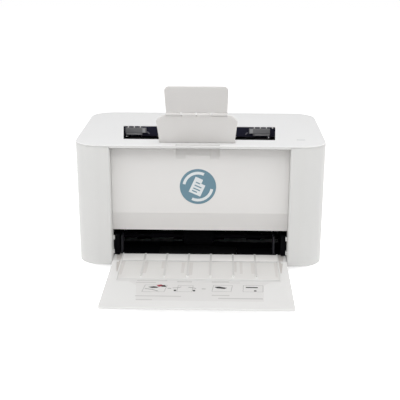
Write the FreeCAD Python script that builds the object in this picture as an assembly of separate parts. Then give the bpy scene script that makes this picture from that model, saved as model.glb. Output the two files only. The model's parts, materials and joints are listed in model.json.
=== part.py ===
import FreeCAD, Part
import math
import os

# Compact desktop laser printer, modelled with its front tray open and its output support raised.
# While it is drawn, x = 0 is the middle of the body, y = 0 the front plane of the side covers and
# z = 0 the table. Every piece is moved by -ORIGIN_Y when it is written.

Vector = FreeCAD.Vector

# ---------------------------------------------------------------- casing sizes (mm)
PAPER_WIDTH = 210.0
RECESS_MARGIN = 14.6
SIDE_BAY = 48.9
REAR_ROOM = 42.0
COVER_HEIGHT = 168.0
FOOT_HEIGHT = 4.0
FOOT_RADIUS = 7.0
BASE_SHOW = 4.0
BASE_INSET = 6.0
BASE_THICKNESS = 3.0
BASE_WALL = 2.0
BASE_BEVEL = (4.5, 2.2)
CORNER_RADIUS = 33.0
SIDE_DRAFT = 1.2
COVER_WALL = 2.5
TOP_THICKNESS = 2.2
TOP_EDGE_ROUND = 0.4
COVER_SEAM = 0.3
PANEL_GAP = 0.5
RECESS_CHAMFER = 1.5
BUMPS = ((16.5, 38.7), (10.5, 20.6))
BUMP_REACH = 2.0
BUMP_DEPTH = 4.5
BUMP_HEIGHT = 5.0
LIP_HEIGHT = 3.9
REAR_MARGIN = 18.0
FRAME_LUG_LENGTH = 12.0

# ---------------------------------------------------------------- fits and gaps
MOVING_GAP = 0.3
SHAFT_GAP = 0.05
BACKLASH = 0.3

# ---------------------------------------------------------------- front door
DOOR_SETBACK = 14.0
DOOR_TOP_GAP = 2.5
DOOR_BEND_Z = 79.0
DOOR_BOTTOM_Z = 52.5
DOOR_BOTTOM_Y = 20.5
DOOR_HINGE_Y = 27.0
DOOR_HINGE_Z = 58.0
DOOR_FLANGE = 6.0
DOOR_PIN = 2.0
GRIP_LEFT = -32.6
GRIP_RIGHT = 26.2
GRIP_DEPTH = 6.0
GRIP_HEIGHT = 10.6
GRIP_FOOT_DROP = 4.8
GRIP_FOOT_WIDTH = 12.0
GRIP_FOOT_INSET = 0.8
GRIP_LIP = 3.0
GRIP_DIP = 1.8
GRIP_DIP_FRONT = 1.2
GRIP_DIP_BACK = 11.8
BADGE_X = -2.8
BADGE_Z = 116.5
BADGE_RADIUS = 24.5
BADGE_THICKNESS = 0.5
BADGE_RECESS = 0.4

# ---------------------------------------------------------------- front tray
TRAY_REACH = 156.6
TRAY_TOP = 14.0
TRAY_THICKNESS = 3.0
TRAY_CHANNEL_DEPTH = 1.9
TRAY_HINGE_Y = 2.6
TRAY_HINGE_Z = 11.4
TRAY_CORNER = 3.0
TRAY_PIN = 1.2
CHANNEL_MARGIN = 13.2
CHANNEL_FRONT = -58.0
CHANNEL_DEPTH = 1.2
CHANNEL_WALL = 1.6
GROOVE_WIDTH = 9.0
GROOVE_TIP = 1.5
GROOVE_FRONT = -40.0
RIB_COUNT = 6
RIB_PITCH = 30.4
RIB_WIDTH = 2.6
RIB_FRONT = -50.0

# ---------------------------------------------------------------- paper path
PATH_X = -3.5
SLOT_Y = 32.0
FLOOR_THICKNESS = 2.5
SLOT_CHEEK_TOP = 44.0
GUIDE_LENGTH = 17.5
GUIDE_HEIGHT = 26.0
GUIDE_THICKNESS = 1.8
GUIDE_TRAVEL = 31.0
RACK_STEP = 15.0
RACK_GEAR_TEETH = 16
RACK_HEIGHT = 2.7
LIFT_HALF = 54.5
LIFT_THICKNESS = 2.0
LIFT_PIN = 0.8
SPRING_REACH = 40.0
POST_WIDTH = 3.0

# ---------------------------------------------------------------- rollers
PICKUP_STEP = 34.0
PICKUP_Z = 28.5
PICKUP_RADIUS = 12.0
FEED_STEP = 32.0
FEED_Z = 28.3
FEED_RADIUS = 6.0
FEED_PINCH_RADIUS = 5.0
DRUM_STEP = 30.0
DRUM_Z = 39.3
DRUM_RADIUS = 12.0
DRUM_WALL = 1.0
DEVELOPER_RADIUS = 8.0
DEVELOPER_ANGLE = 160.0
FUSER_STEP = 50.0
FUSER_Z = 40.75
FUSER_RADIUS = 10.0
EXIT_STEP = 6.5
EXIT_DROP = 21.2
EXIT_RADIUS = 6.0
PINCH_RADIUS = 5.0
SHAFT_RADIUS = 3.0
JOURNAL = 4.0
SLEEVE_OVERHANG = 3.0
CARTRIDGE_SIDE_GAP = 7.9
FUSER_SIDE_GAP = 2.9
PINCH_WIDTH = 12.0
PINCH_PIN = 1.5

# ---------------------------------------------------------------- inner frame and drive
FRAME_THICKNESS = 4.0
FRAME_GAP = 0.3
FRAME_TOP_GAP = 11.0
FRAME_FRONT = 22.3
GEAR_MODULE = 1.0
GEAR_WIDTH = 5.0
GEAR_OFFSET = 2.7
PRESSURE_ANGLE = 25.0
DRUM_TEETH = 26
TRANSFER_TEETH = 14
DRIVE_REACH = 1.025
MOTOR_TEETH = 12
FUSER_TEETH = 24
FUSER_IDLER_REACH = 1.052
FEED_TEETH = 16
FEED_IDLER_REACH = 1.21
PICKUP_TEETH = 30
PICKUP_IDLER_REACH = 1.08
EXIT_TEETH = 16
EXIT_IDLER_REACH = 1.052
STUD_RADIUS = 2.5
MOTOR_STEP = 22.0
MOTOR_Z = 88.0
MOTOR_RADIUS = 21.0
MOTOR_LENGTH = 25.0
MOTOR_SHAFT = 2.0
GEAR_PLATE_THICKNESS = 1.6
GEAR_PLATE_FRONT = 70.0
GEAR_PLATE_BACK = 48.0
GEAR_PLATE_LOW = 48.0
GEAR_PLATE_RISE = 3.2
LEDGE_REACH = 7.0
SCREW_RADIUS = 1.6
SCREW_HEAD = 3.0
SCREW_HEAD_HEIGHT = 1.8
SCREW_LENGTH = 16.0

# ---------------------------------------------------------------- scanner
DECK_Z = 104.0
DECK_THICKNESS = 1.2
DECK_BEFORE_DRUM = 68.0
DECK_BEHIND_DRUM = 24.0
DECK_MARGIN = 6.0
SCANNER_HALF = 87.0
SCANNER_HEIGHT = 25.0
SCANNER_WALL = 2.0
MIRROR_RADIUS = 12.0
BEAM_SLOT_HALF = 77.5

# ---------------------------------------------------------------- output window and support
WINDOW_BACK_Y = 121.5
WINDOW_FRONT_Y = 37.7
WINDOW_BACK_MARGINS = (6.2, 13.9)
WINDOW_FRONT_MARGINS = (15.1, 18.9)
SUPPORT_LEAN = 30.0
SUPPORT_X = -4.2
SUPPORT_HINGE_Y = 25.0
SUPPORT_HINGE_DROP = 2.0
SUPPORT_THICKNESS = 2.2
FLAP_START = 2.0
FLAP_LENGTH = 49.9
FLAP_BASE_WIDTH = 100.0
FLAP_TOP_WIDTH = 106.3
FLAP_CHAMFER = (8.0, 8.0)
FLAP_CORNER = 6.0
FLAP_KNUCKLE = 10.0
FLAP_BARREL = 2.2
FLAP_PIN = 1.1
CHANNEL_FRONT_REACH = 7.0
CHANNEL_BACK_REACH = 6.5
CHANNEL_SKIN = 1.2
FOLD_RISE = 54.0
FOLD_BARREL = 2.0
FOLD_PIN = 0.8
FOLD_PITCH = 19.6
FOLD_SLIT = 2.6
FOLD_GAP = 0.5
EXTENSION_WIDTH = 79.3
EXTENSION_TOP_WIDTH = 81.6
EXTENSION_LENGTH = 44.6
EXTENSION_CORNER = 6.5

# ---------------------------------------------------------------- controls and electrics
BUTTON_OFFSET = 11.8
BUTTON_Y = 40.0
BUTTON_LENGTH = 12.0
BUTTON_WIDTH = 3.4
BUTTON_TRAVEL = 0.8
BUTTON_GAP = 0.25
BUTTON_FLANGE = 1.4
BOARD_THICKNESS = 1.6
PLUNGER_HEIGHT = 4.0
CONTROL_BOARD_DROP = 13.0
CONTROL_BOARD_MARGINS = (0.7, 16.5)
CONTROL_BOARD_REACH = (12.0, 30.0)
POWER_BOARD_Z = 16.0
POWER_BOARD_MARGINS = (2.1, 21.0)
POWER_BOARD_LENGTH = 136.0
POWER_BOARD_BACK = 14.0
MAIN_BOARD_LENGTH = 152.0
MAIN_BOARD_BACK = 6.0
MAIN_BOARD_LOW = 66.0
MAIN_BOARD_TOP_GAP = 34.0
SOCKET_FLANGE = 1.5
MAIN_BOARD_OFFSET = 2.0
INLET_OFFSET = 0.4
INLET_WIDTH = 27.0
INLET_HEIGHT = 20.0
INLET_DEPTH = 21.0
SWITCH_Z = 52.0
SWITCH_WIDTH = 13.0
SWITCH_HEIGHT = 20.0
SWITCH_DEPTH = 16.0
ROCKER_PIN = 1.2
ROCKER_REST = 8.0
USB_Z = 100.0
USB_WIDTH = 12.0
USB_HEIGHT = 11.0
USB_DEPTH = 16.5

# ---------------------------------------------------------------- rear door
REAR_DOOR_BOTTOM = 26.5
REAR_DOOR_TOP_GAP = 12.0
REAR_HINGE_INSET = 2.3
REAR_HINGE_Z = 28.6
REAR_PIN = 1.2

# ---------------------------------------------------------------- worked-out places
COVER_BOTTOM = FOOT_HEIGHT + BASE_SHOW
BODY_TOP = COVER_BOTTOM + COVER_HEIGHT
PICKUP_Y = SLOT_Y + PICKUP_STEP
FEED_Y = PICKUP_Y + FEED_STEP
DRUM_Y = FEED_Y + DRUM_STEP
FUSER_Y = DRUM_Y + FUSER_STEP
BODY_DEPTH = FUSER_Y + REAR_ROOM
RECESS_WIDTH = PAPER_WIDTH + 2 * RECESS_MARGIN
BODY_WIDTH = RECESS_WIDTH + 2 * SIDE_BAY
TOP_UNDERSIDE = BODY_TOP - TOP_THICKNESS
SIDE_TOP = TOP_UNDERSIDE - COVER_SEAM
BASE_TOP = FOOT_HEIGHT + BASE_THICKNESS
RECESS_HALF = RECESS_WIDTH / 2
PANEL_HALF = RECESS_HALF - PANEL_GAP
FRAME_INNER = RECESS_HALF + FRAME_GAP
FRAME_OUTER = FRAME_INNER + FRAME_THICKNESS
FRAME_TOP = BODY_TOP - FRAME_TOP_GAP
CHANNEL_HALF = RECESS_HALF - CHANNEL_MARGIN
CARTRIDGE_HALF = FRAME_INNER - CARTRIDGE_SIDE_GAP
FUSER_HALF = FRAME_INNER - FUSER_SIDE_GAP
SLEEVE_HALF = PAPER_WIDTH / 2 + SLEEVE_OVERHANG
WINDOW_BACK = (WINDOW_BACK_MARGINS[0] - RECESS_HALF, RECESS_HALF - WINDOW_BACK_MARGINS[1])
WINDOW_FRONT = (WINDOW_FRONT_MARGINS[0] - RECESS_HALF, RECESS_HALF - WINDOW_FRONT_MARGINS[1])
SUPPORT_HINGE_Z = BODY_TOP - SUPPORT_HINGE_DROP
EXIT_Y = WINDOW_BACK_Y + EXIT_STEP
EXIT_Z = BODY_TOP - EXIT_DROP
FLOOR_BACK = PICKUP_Y + 18.0
LIFT_BACK = PICKUP_Y - 2.0
GUIDE_FRONT = SLOT_Y + 1.5
GUIDE_BACK = GUIDE_FRONT + GUIDE_LENGTH
RACK_GEAR_Y = SLOT_Y + RACK_STEP
SPRING_Y = RACK_GEAR_Y
MOTOR_Y = DRUM_Y - MOTOR_STEP
LIP_BOTTOM = BODY_TOP - LIP_HEIGHT
DOOR_TOP = LIP_BOTTOM - DOOR_TOP_GAP
DOOR_BACK = DOOR_SETBACK + COVER_WALL
TRAY_BOTTOM = TRAY_TOP - TRAY_THICKNESS
FLOOR_TOP = TRAY_TOP - CHANNEL_DEPTH
FLOOR_UNDER = FLOOR_TOP - FLOOR_THICKNESS
ORIGIN_Y = (BODY_DEPTH - TRAY_REACH) / 2
RIM_TOP = COVER_BOTTOM + 7.0
GEAR_RIGHT = -FRAME_OUTER - GEAR_OFFSET
GEAR_LEFT = GEAR_RIGHT - GEAR_WIDTH
GEAR_PLATE_X = GEAR_LEFT - GEAR_OFFSET - GEAR_PLATE_THICKNESS
INNER_BACK = BODY_DEPTH - COVER_WALL
FRAME_BACK = INNER_BACK - FRAME_GAP
FRAME_BACK_RIGHT = INNER_BACK - 20.0
FRAME_LUG_YS = (40.0, 100.0, FRAME_BACK_RIGHT - 17.5)
REAR_RIGHT = RECESS_HALF - REAR_MARGIN
REAR_DOOR_TOP = BODY_TOP - REAR_DOOR_TOP_GAP
REAR_HINGE_Y = INNER_BACK - REAR_HINGE_INSET
DECK_FRONT = DRUM_Y - DECK_BEFORE_DRUM
DECK_BACK = DRUM_Y + DECK_BEHIND_DRUM
SCANNER_FRONT = DECK_FRONT + DECK_MARGIN
SCANNER_BACK = DECK_BACK - DECK_MARGIN
LEDGE_YS = (DECK_FRONT + 12.0, DECK_BACK - 14.0)
BUTTON_X = FRAME_OUTER + BUTTON_OFFSET
CONTROL_BOARD_Z = BODY_TOP - CONTROL_BOARD_DROP
CONTROL_BOARD = (FRAME_OUTER + CONTROL_BOARD_MARGINS[0], BODY_WIDTH / 2 - CONTROL_BOARD_MARGINS[1],
                 BUTTON_Y - CONTROL_BOARD_REACH[0], BUTTON_Y + CONTROL_BOARD_REACH[1])
POWER_BOARD = (FRAME_OUTER + POWER_BOARD_MARGINS[0], BODY_WIDTH / 2 - POWER_BOARD_MARGINS[1],
               BODY_DEPTH - POWER_BOARD_BACK - POWER_BOARD_LENGTH, BODY_DEPTH - POWER_BOARD_BACK)
MAIN_BOARD = (BODY_DEPTH - MAIN_BOARD_BACK - MAIN_BOARD_LENGTH, BODY_DEPTH - MAIN_BOARD_BACK,
              MAIN_BOARD_LOW, BODY_TOP - MAIN_BOARD_TOP_GAP)
INLET_X = RECESS_HALF + INLET_OFFSET
RACK_PITCH_RADIUS = GEAR_MODULE * RACK_GEAR_TEETH / 2
RACK_BOTTOM = BASE_TOP + MOVING_GAP
RACK_TOP = RACK_BOTTOM + RACK_HEIGHT
INLET_Z = POWER_BOARD_Z + BOARD_THICKNESS + INLET_HEIGHT / 2
MAIN_BOARD_X = FRAME_OUTER + MAIN_BOARD_OFFSET
USB_RIGHT = MAIN_BOARD_X
CHANNEL_FLOOR = SUPPORT_HINGE_Z - FLAP_BARREL - 0.6
LIFT_HINGE_Y = SLOT_Y + 2.5
LIFT_HINGE_Z = FLOOR_TOP - 1.0
FUSER_FRAME_FRONT = FUSER_Y - 16.0
FUSER_FRAME_BACK = FUSER_Y + 17.0
FUSER_FRAME_TOP = FUSER_Z + 18.0
SCANNER_Z = DECK_Z + DECK_THICKNESS
SCANNER_TOP = SCANNER_Z + SCANNER_HEIGHT
MIRROR_Y = SCANNER_FRONT + 22.0
MIRROR_Z = SCANNER_Z + 8.0
ROCKER_AXIS_Y = BODY_DEPTH - 5.0


# ================================================================ shapes by hand
def box(x0, x1, y0, y1, z0, z1):
    corner = Vector(min(x0, x1), min(y0, y1), min(z0, z1))
    return Part.makeBox(abs(x1 - x0), abs(y1 - y0), abs(z1 - z0), corner)


def rod_x(radius, x0, x1, y, z):
    return Part.makeCylinder(radius, abs(x1 - x0), Vector(min(x0, x1), y, z), Vector(1, 0, 0))


def rod_y(radius, x, y0, y1, z):
    return Part.makeCylinder(radius, abs(y1 - y0), Vector(x, min(y0, y1), z), Vector(0, 1, 0))


def rod_z(radius, x, y, z0, z1):
    return Part.makeCylinder(radius, abs(z1 - z0), Vector(x, y, min(z0, z1)), Vector(0, 0, 1))


def prism_x(points, x0, x1):
    corners = [Vector(min(x0, x1), y, z) for y, z in points]
    face = Part.Face(Part.makePolygon(corners + corners[:1]))
    return face.extrude(Vector(abs(x1 - x0), 0, 0))


def prism_z(points, z0, z1):
    corners = [Vector(x, y, z0) for x, y in points]
    face = Part.Face(Part.makePolygon(corners + corners[:1]))
    return face.extrude(Vector(0, 0, z1 - z0))


def join(pieces):
    whole = pieces[0]
    if len(pieces) > 1:
        whole = whole.fuse(pieces[1:])
    return whole.removeSplitter()


def less(piece, tools):
    return piece.cut(tools)


def group(pieces):
    return Part.makeCompound(pieces)


def write(name, piece):
    moved = piece.copy()
    moved.translate(Vector(0, -ORIGIN_Y, 0))
    moved.exportStep(os.path.join("parts", name + ".step"))
    return moved


# ================================================================ body outline
def rounded_wire(width, front, back, radius, z):
    half = width / 2
    inner = half - radius
    diagonal = radius * math.sqrt(0.5)
    y0 = front + radius
    y1 = back - radius
    edges = [
        Part.LineSegment(Vector(-inner, front, z), Vector(inner, front, z)),
        Part.Arc(Vector(inner, front, z), Vector(inner + diagonal, y0 - diagonal, z), Vector(half, y0, z)),
        Part.LineSegment(Vector(half, y0, z), Vector(half, y1, z)),
        Part.Arc(Vector(half, y1, z), Vector(inner + diagonal, y1 + diagonal, z), Vector(inner, back, z)),
        Part.LineSegment(Vector(inner, back, z), Vector(-inner, back, z)),
        Part.Arc(Vector(-inner, back, z), Vector(-inner - diagonal, y1 + diagonal, z), Vector(-half, y1, z)),
        Part.LineSegment(Vector(-half, y1, z), Vector(-half, y0, z)),
        Part.Arc(Vector(-half, y0, z), Vector(-inner - diagonal, y0 - diagonal, z), Vector(-inner, front, z)),
    ]
    return Part.Wire([edge.toShape() for edge in edges])


def outline_wire(inset, z):
    lean = SIDE_DRAFT * (BODY_TOP - z) / COVER_HEIGHT
    width = BODY_WIDTH - 2 * lean - 2 * inset
    return rounded_wire(width, inset, BODY_DEPTH - inset, CORNER_RADIUS - inset, z)


def body_block(inset, z0, z1):
    return Part.makeLoft([outline_wire(inset, z0), outline_wire(inset, z1)], True, True)


def body_ring(outer_inset, inner_inset, z0, z1):
    hollow = body_block(inner_inset, z0 - 1, z1 + 1)
    return body_block(outer_inset, z0, z1).cut(hollow)


# ================================================================ gears
def pitch_radius(teeth):
    return GEAR_MODULE * teeth / 2


def involute(angle):
    return math.tan(angle) - angle


def tooth_half_angle(teeth, radius):
    pitch = pitch_radius(teeth)
    pressure = math.radians(PRESSURE_ANGLE)
    base = pitch * math.cos(pressure)
    half = math.pi / (2 * teeth) - BACKLASH / (4 * pitch)
    local = math.acos(min(1.0, base / max(radius, base)))
    return half + involute(pressure) - involute(local)


def gear_outline(teeth, phase):
    pitch = pitch_radius(teeth)
    root = pitch - 1.1 * GEAR_MODULE
    tip = pitch + 0.8 * GEAR_MODULE
    radii = [root, pitch - 0.5 * GEAR_MODULE, pitch, tip]
    points = []
    for index in range(teeth):
        middle = phase + 2 * math.pi * index / teeth
        for radius in radii:
            angle = middle - tooth_half_angle(teeth, radius)
            points.append((radius * math.cos(angle), radius * math.sin(angle)))
        for radius in reversed(radii):
            angle = middle + tooth_half_angle(teeth, radius)
            points.append((radius * math.cos(angle), radius * math.sin(angle)))
    return points


def gear_x(teeth, phase, centre, x0, x1, bore):
    points = [(y + centre[0], z + centre[1]) for y, z in gear_outline(teeth, phase)]
    body = prism_x(points, x0, x1)
    return body.cut(rod_x(bore, x0 - 1, x1 + 1, centre[0], centre[1]))


def mesh_phase(driver_teeth, driver_phase, driver, teeth, centre):
    # phase that puts a tooth of this gear in a gap of the driver on the line of centres
    line = math.atan2(centre[1] - driver[1], centre[0] - driver[0])
    half_pitch = math.pi * GEAR_MODULE / 2
    offset = pitch_radius(driver_teeth) * (driver_phase - line) + half_pitch
    return line + math.pi - offset / pitch_radius(teeth)


def between(first, first_distance, second, second_distance, side):
    # point at the two given distances, on the chosen side of the line from first to second
    dy = second[0] - first[0]
    dz = second[1] - first[1]
    span = math.hypot(dy, dz)
    along = (first_distance ** 2 - second_distance ** 2 + span ** 2) / (2 * span)
    across = side * math.sqrt(first_distance ** 2 - along ** 2)
    return (first[0] + (along * dy - across * dz) / span, first[1] + (along * dz + across * dy) / span)


def centre_distance(first_teeth, second_teeth):
    return pitch_radius(first_teeth) + pitch_radius(second_teeth)


def idler_teeth(first, first_teeth, second, second_teeth, reach):
    # smallest idler whose two meshes span the distance times reach
    span = math.hypot(second[0] - first[0], second[1] - first[1])
    return math.ceil(reach * span / GEAR_MODULE - (first_teeth + second_teeth) / 2)


DRUM = (DRUM_Y, DRUM_Z)
FEED = (FEED_Y, FEED_Z)
PICKUP = (PICKUP_Y, PICKUP_Z)
FUSER = (FUSER_Y, FUSER_Z)
EXIT = (EXIT_Y, EXIT_Z)
MOTOR = (MOTOR_Y, MOTOR_Z)
DRIVE_TEETH = idler_teeth(DRUM, DRUM_TEETH, MOTOR, MOTOR_TEETH, DRIVE_REACH)
FUSER_IDLER_TEETH = idler_teeth(DRUM, DRUM_TEETH, FUSER, FUSER_TEETH, FUSER_IDLER_REACH)
FEED_IDLER_TEETH = idler_teeth(DRUM, DRUM_TEETH, FEED, FEED_TEETH, FEED_IDLER_REACH)
PICKUP_IDLER_TEETH = idler_teeth(FEED, FEED_TEETH, PICKUP, PICKUP_TEETH, PICKUP_IDLER_REACH)
EXIT_IDLER_TEETH = idler_teeth(MOTOR, MOTOR_TEETH, EXIT, EXIT_TEETH, EXIT_IDLER_REACH)
TRANSFER = (DRUM_Y, DRUM_Z - centre_distance(DRUM_TEETH, TRANSFER_TEETH))
DRIVE = between(DRUM, centre_distance(DRUM_TEETH, DRIVE_TEETH),
                MOTOR, centre_distance(DRIVE_TEETH, MOTOR_TEETH), -1)
FUSER_IDLER = between(DRUM, centre_distance(DRUM_TEETH, FUSER_IDLER_TEETH),
                      FUSER, centre_distance(FUSER_IDLER_TEETH, FUSER_TEETH), 1)
FEED_IDLER = between(DRUM, centre_distance(DRUM_TEETH, FEED_IDLER_TEETH),
                     FEED, centre_distance(FEED_IDLER_TEETH, FEED_TEETH), -1)
PICKUP_IDLER = between(FEED, centre_distance(FEED_TEETH, PICKUP_IDLER_TEETH),
                       PICKUP, centre_distance(PICKUP_IDLER_TEETH, PICKUP_TEETH), -1)
EXIT_IDLER = between(MOTOR, centre_distance(MOTOR_TEETH, EXIT_IDLER_TEETH),
                     EXIT, centre_distance(EXIT_IDLER_TEETH, EXIT_TEETH), 1)

DRUM_PHASE = 0.0
TRANSFER_PHASE = mesh_phase(DRUM_TEETH, DRUM_PHASE, DRUM, TRANSFER_TEETH, TRANSFER)
DRIVE_PHASE = mesh_phase(DRUM_TEETH, DRUM_PHASE, DRUM, DRIVE_TEETH, DRIVE)
MOTOR_PHASE = mesh_phase(DRIVE_TEETH, DRIVE_PHASE, DRIVE, MOTOR_TEETH, MOTOR)
EXIT_IDLER_PHASE = mesh_phase(MOTOR_TEETH, MOTOR_PHASE, MOTOR, EXIT_IDLER_TEETH, EXIT_IDLER)
EXIT_PHASE = mesh_phase(EXIT_IDLER_TEETH, EXIT_IDLER_PHASE, EXIT_IDLER, EXIT_TEETH, EXIT)
FUSER_IDLER_PHASE = mesh_phase(DRUM_TEETH, DRUM_PHASE, DRUM, FUSER_IDLER_TEETH, FUSER_IDLER)
FUSER_PHASE = mesh_phase(FUSER_IDLER_TEETH, FUSER_IDLER_PHASE, FUSER_IDLER, FUSER_TEETH, FUSER)
FEED_IDLER_PHASE = mesh_phase(DRUM_TEETH, DRUM_PHASE, DRUM, FEED_IDLER_TEETH, FEED_IDLER)
FEED_PHASE = mesh_phase(FEED_IDLER_TEETH, FEED_IDLER_PHASE, FEED_IDLER, FEED_TEETH, FEED)
PICKUP_IDLER_PHASE = mesh_phase(FEED_TEETH, FEED_PHASE, FEED, PICKUP_IDLER_TEETH, PICKUP_IDLER)
PICKUP_PHASE = mesh_phase(PICKUP_IDLER_TEETH, PICKUP_IDLER_PHASE, PICKUP_IDLER, PICKUP_TEETH, PICKUP)

# roller places that follow from their neighbours
NIP_GAP = MOVING_GAP
TRANSFER_RADIUS = DRUM_Z - TRANSFER[1] - DRUM_RADIUS - NIP_GAP
DEVELOPER_REACH = DRUM_RADIUS + DEVELOPER_RADIUS + NIP_GAP
DEVELOPER = (DRUM_Y + DEVELOPER_REACH * math.cos(math.radians(DEVELOPER_ANGLE)),
             DRUM_Z + DEVELOPER_REACH * math.sin(math.radians(DEVELOPER_ANGLE)))
FEED_PINCH = (FEED_Y, FEED_Z - FEED_RADIUS - NIP_GAP - FEED_PINCH_RADIUS)
PRESSURE = (FUSER_Y, FUSER_Z - 2 * FUSER_RADIUS - NIP_GAP)
PINCH = (EXIT_Y, EXIT_Z + EXIT_RADIUS + NIP_GAP + PINCH_RADIUS)

# the output support is drawn lying flat (u backwards, v up from its hinge) and turned up to its lean
SUPPORT_TURN = 90.0 + SUPPORT_LEAN
PLATE_LOW = BODY_TOP + MOVING_GAP - SUPPORT_HINGE_Z
PLATE_HIGH = PLATE_LOW + SUPPORT_THICKNESS
FOLD_U = FLAP_START + FOLD_RISE
FOLD_V = PLATE_HIGH + MOVING_GAP / 2
FLAP_END = FLAP_START + FLAP_LENGTH
EXTENSION_END = FOLD_U + EXTENSION_LENGTH

# posts of the gear plate, around the gears
GEAR_PLATE_SPAN = (DRUM_Y - GEAR_PLATE_FRONT, DRUM_Y + GEAR_PLATE_BACK, GEAR_PLATE_LOW,
                   EXIT_Z + GEAR_PLATE_RISE)
GEAR_POSTS = ((GEAR_PLATE_SPAN[0] + 6, GEAR_PLATE_SPAN[3] - 8),
              (GEAR_PLATE_SPAN[1] - 8, GEAR_PLATE_SPAN[3] - 8),
              (GEAR_PLATE_SPAN[0] + 6, GEAR_PLATE_SPAN[2] + 14),
              (GEAR_PLATE_SPAN[1] - 6, GEAR_PLATE_SPAN[2] + 28))

# exit guide: floor of the output bin and the dark wall at its back
BIN_FLOOR_FRONT = (WINDOW_FRONT_Y - 3.7, BODY_TOP - 7.8)
BIN_FLOOR_BACK = (EXIT_Y - EXIT_RADIUS - 3.0, EXIT_Z - 2.3)
BIN_THICKNESS = 2.0
BIN_WALL_Y = WINDOW_BACK_Y - 2.1
BIN_WALL_THICKNESS = 1.6
HOLDER_WIDTH = 24.0
HOLDER_SPANS = ((WINDOW_BACK[0] + 3.4, WINDOW_BACK[0] + 3.4 + HOLDER_WIDTH),
                (WINDOW_BACK[1] - 7.9 - HOLDER_WIDTH, WINDOW_BACK[1] - 7.9))
HOLDER_HOOK = 6.0
HOLDER_FRONT = BIN_WALL_Y - 3.4
HOLDER_BACK = EXIT_Y + PINCH_RADIUS + 1.5
HOLDER_TOP = TOP_UNDERSIDE
HOLDER_BOTTOM = HOLDER_TOP - 10.3


# ================================================================ casing
def base_pan():
    bevel_depth, bevel_height = BASE_BEVEL
    bevel_top = FOOT_HEIGHT + bevel_height
    bevel = Part.makeLoft([outline_wire(BASE_INSET + bevel_depth, FOOT_HEIGHT),
                           outline_wire(BASE_INSET, bevel_top)], True, True)
    plate = body_block(BASE_INSET, bevel_top, BASE_TOP)
    rim = body_ring(BASE_INSET, BASE_INSET + BASE_WALL, bevel_top, RIM_TOP)
    seat = body_ring(COVER_WALL + FRAME_GAP, BASE_INSET + BASE_WALL, COVER_BOTTOM + 1, COVER_BOTTOM + 3)
    clear = FRAME_OUTER + FRAME_GAP
    front_clear = box(-clear, clear, -1, FRAME_FRONT, BASE_TOP, COVER_BOTTOM + 8)
    back_clear = box(-clear, clear, FRAME_BACK_RIGHT, BODY_DEPTH + 1, BASE_TOP, COVER_BOTTOM + 8)
    edge = join([rim, seat]).cut(front_clear).cut(back_clear)
    sill_back = SLOT_Y - MOVING_GAP
    sill_front = TRAY_HINGE_Y + 4.0
    sill = box(-PANEL_HALF, PANEL_HALF, sill_front, sill_back, BASE_TOP, FLOOR_TOP)
    hollow = box(-PANEL_HALF + 3, PANEL_HALF - 3, sill_front + 3, sill_back - 3, BASE_TOP - 1, FLOOR_UNDER)
    sill = sill.cut(hollow)
    ribs = channel_ribs(sill_front, sill_back, FLOOR_TOP - 0.5)
    walls = channel_walls(sill_front, sill_back)
    rear_left = -PANEL_HALF
    rear = box(rear_left, REAR_RIGHT - PANEL_GAP / 2, INNER_BACK, BODY_DEPTH, COVER_BOTTOM,
               REAR_DOOR_BOTTOM - 3.0)
    shelf = box(rear_left, REAR_RIGHT - PANEL_GAP / 2, BODY_DEPTH - BASE_INSET - 4, BODY_DEPTH,
                BASE_TOP - 1.5, COVER_BOTTOM + 1.5)
    shelf = shelf.common(body_block(0, BASE_TOP - 2, COVER_BOTTOM + 2))
    pegs = [rod_z(3.0, x, y, BASE_TOP - 1, POWER_BOARD_Z) for x, y in power_board_posts()]
    stud = rod_z(STUD_RADIUS, PATH_X, RACK_GEAR_Y, BASE_TOP - 1, RACK_TOP)
    spring_seats = [rod_z(2.6, x, SPRING_Y, BASE_TOP - 1, BASE_TOP + 1.2) for x in spring_places()]
    pan = join([bevel, plate, edge, sill, rear, shelf, stud] + ribs + walls + pegs + spring_seats)
    holes = []
    for x, y in cover_screw_places():
        holes.append(rod_z(SCREW_RADIUS + 0.3, x, y, 0, BASE_TOP + 1))
        holes.append(rod_z(SCREW_HEAD + 0.3, x, y, 0, FOOT_HEIGHT + SCREW_HEAD_HEIGHT))
    return less(pan, holes)


def channel_ribs(front, back, low):
    ribs = []
    for index in range(RIB_COUNT):
        x = (index - (RIB_COUNT - 1) / 2) * RIB_PITCH
        ribs.append(box(x - RIB_WIDTH / 2, x + RIB_WIDTH / 2, front, back, low, TRAY_TOP - 0.2))
    return ribs


def groove_outer(y):
    # the outer side of a groove leans inwards to the front, down to a narrow tip
    share = (y - GROOVE_FRONT) / (SLOT_Y - GROOVE_FRONT)
    return CHANNEL_HALF + CHANNEL_WALL + GROOVE_TIP + (GROOVE_WIDTH - GROOVE_TIP) * share


def channel_walls(front, back):
    walls = []
    for side in (-1, 1):
        x = side * (CHANNEL_HALF + CHANNEL_WALL / 2)
        walls.append(box(x - CHANNEL_WALL / 2, x + CHANNEL_WALL / 2, front, back, FLOOR_TOP - 0.5, TRAY_TOP))
        outer = [(side * groove_outer(front), front), (side * groove_outer(back), back),
                 (side * PANEL_HALF, back), (side * PANEL_HALF, front)]
        walls.append(prism_z(outer, FLOOR_TOP - 0.5, TRAY_TOP))
    return walls


def rubber_feet():
    reach = BODY_WIDTH / 2 - 40
    inset = 32.0
    places = [(x, y) for x in (-reach, reach) for y in (inset, BODY_DEPTH - inset)]
    feet = []
    for x, y in places:
        pad = rod_z(FOOT_RADIUS, x, y, 0, FOOT_HEIGHT)
        rims = [edge for edge in pad.Edges if abs(edge.BoundBox.ZMax) < 0.01]
        feet.append(pad.makeFillet(0.6, rims))
    return group(feet)


def cover_screw_places():
    reach = BODY_WIDTH / 2 - 15.5
    inset = 62.0
    return [(x, y) for x in (-reach, reach) for y in (inset, BODY_DEPTH - inset)]


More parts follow.
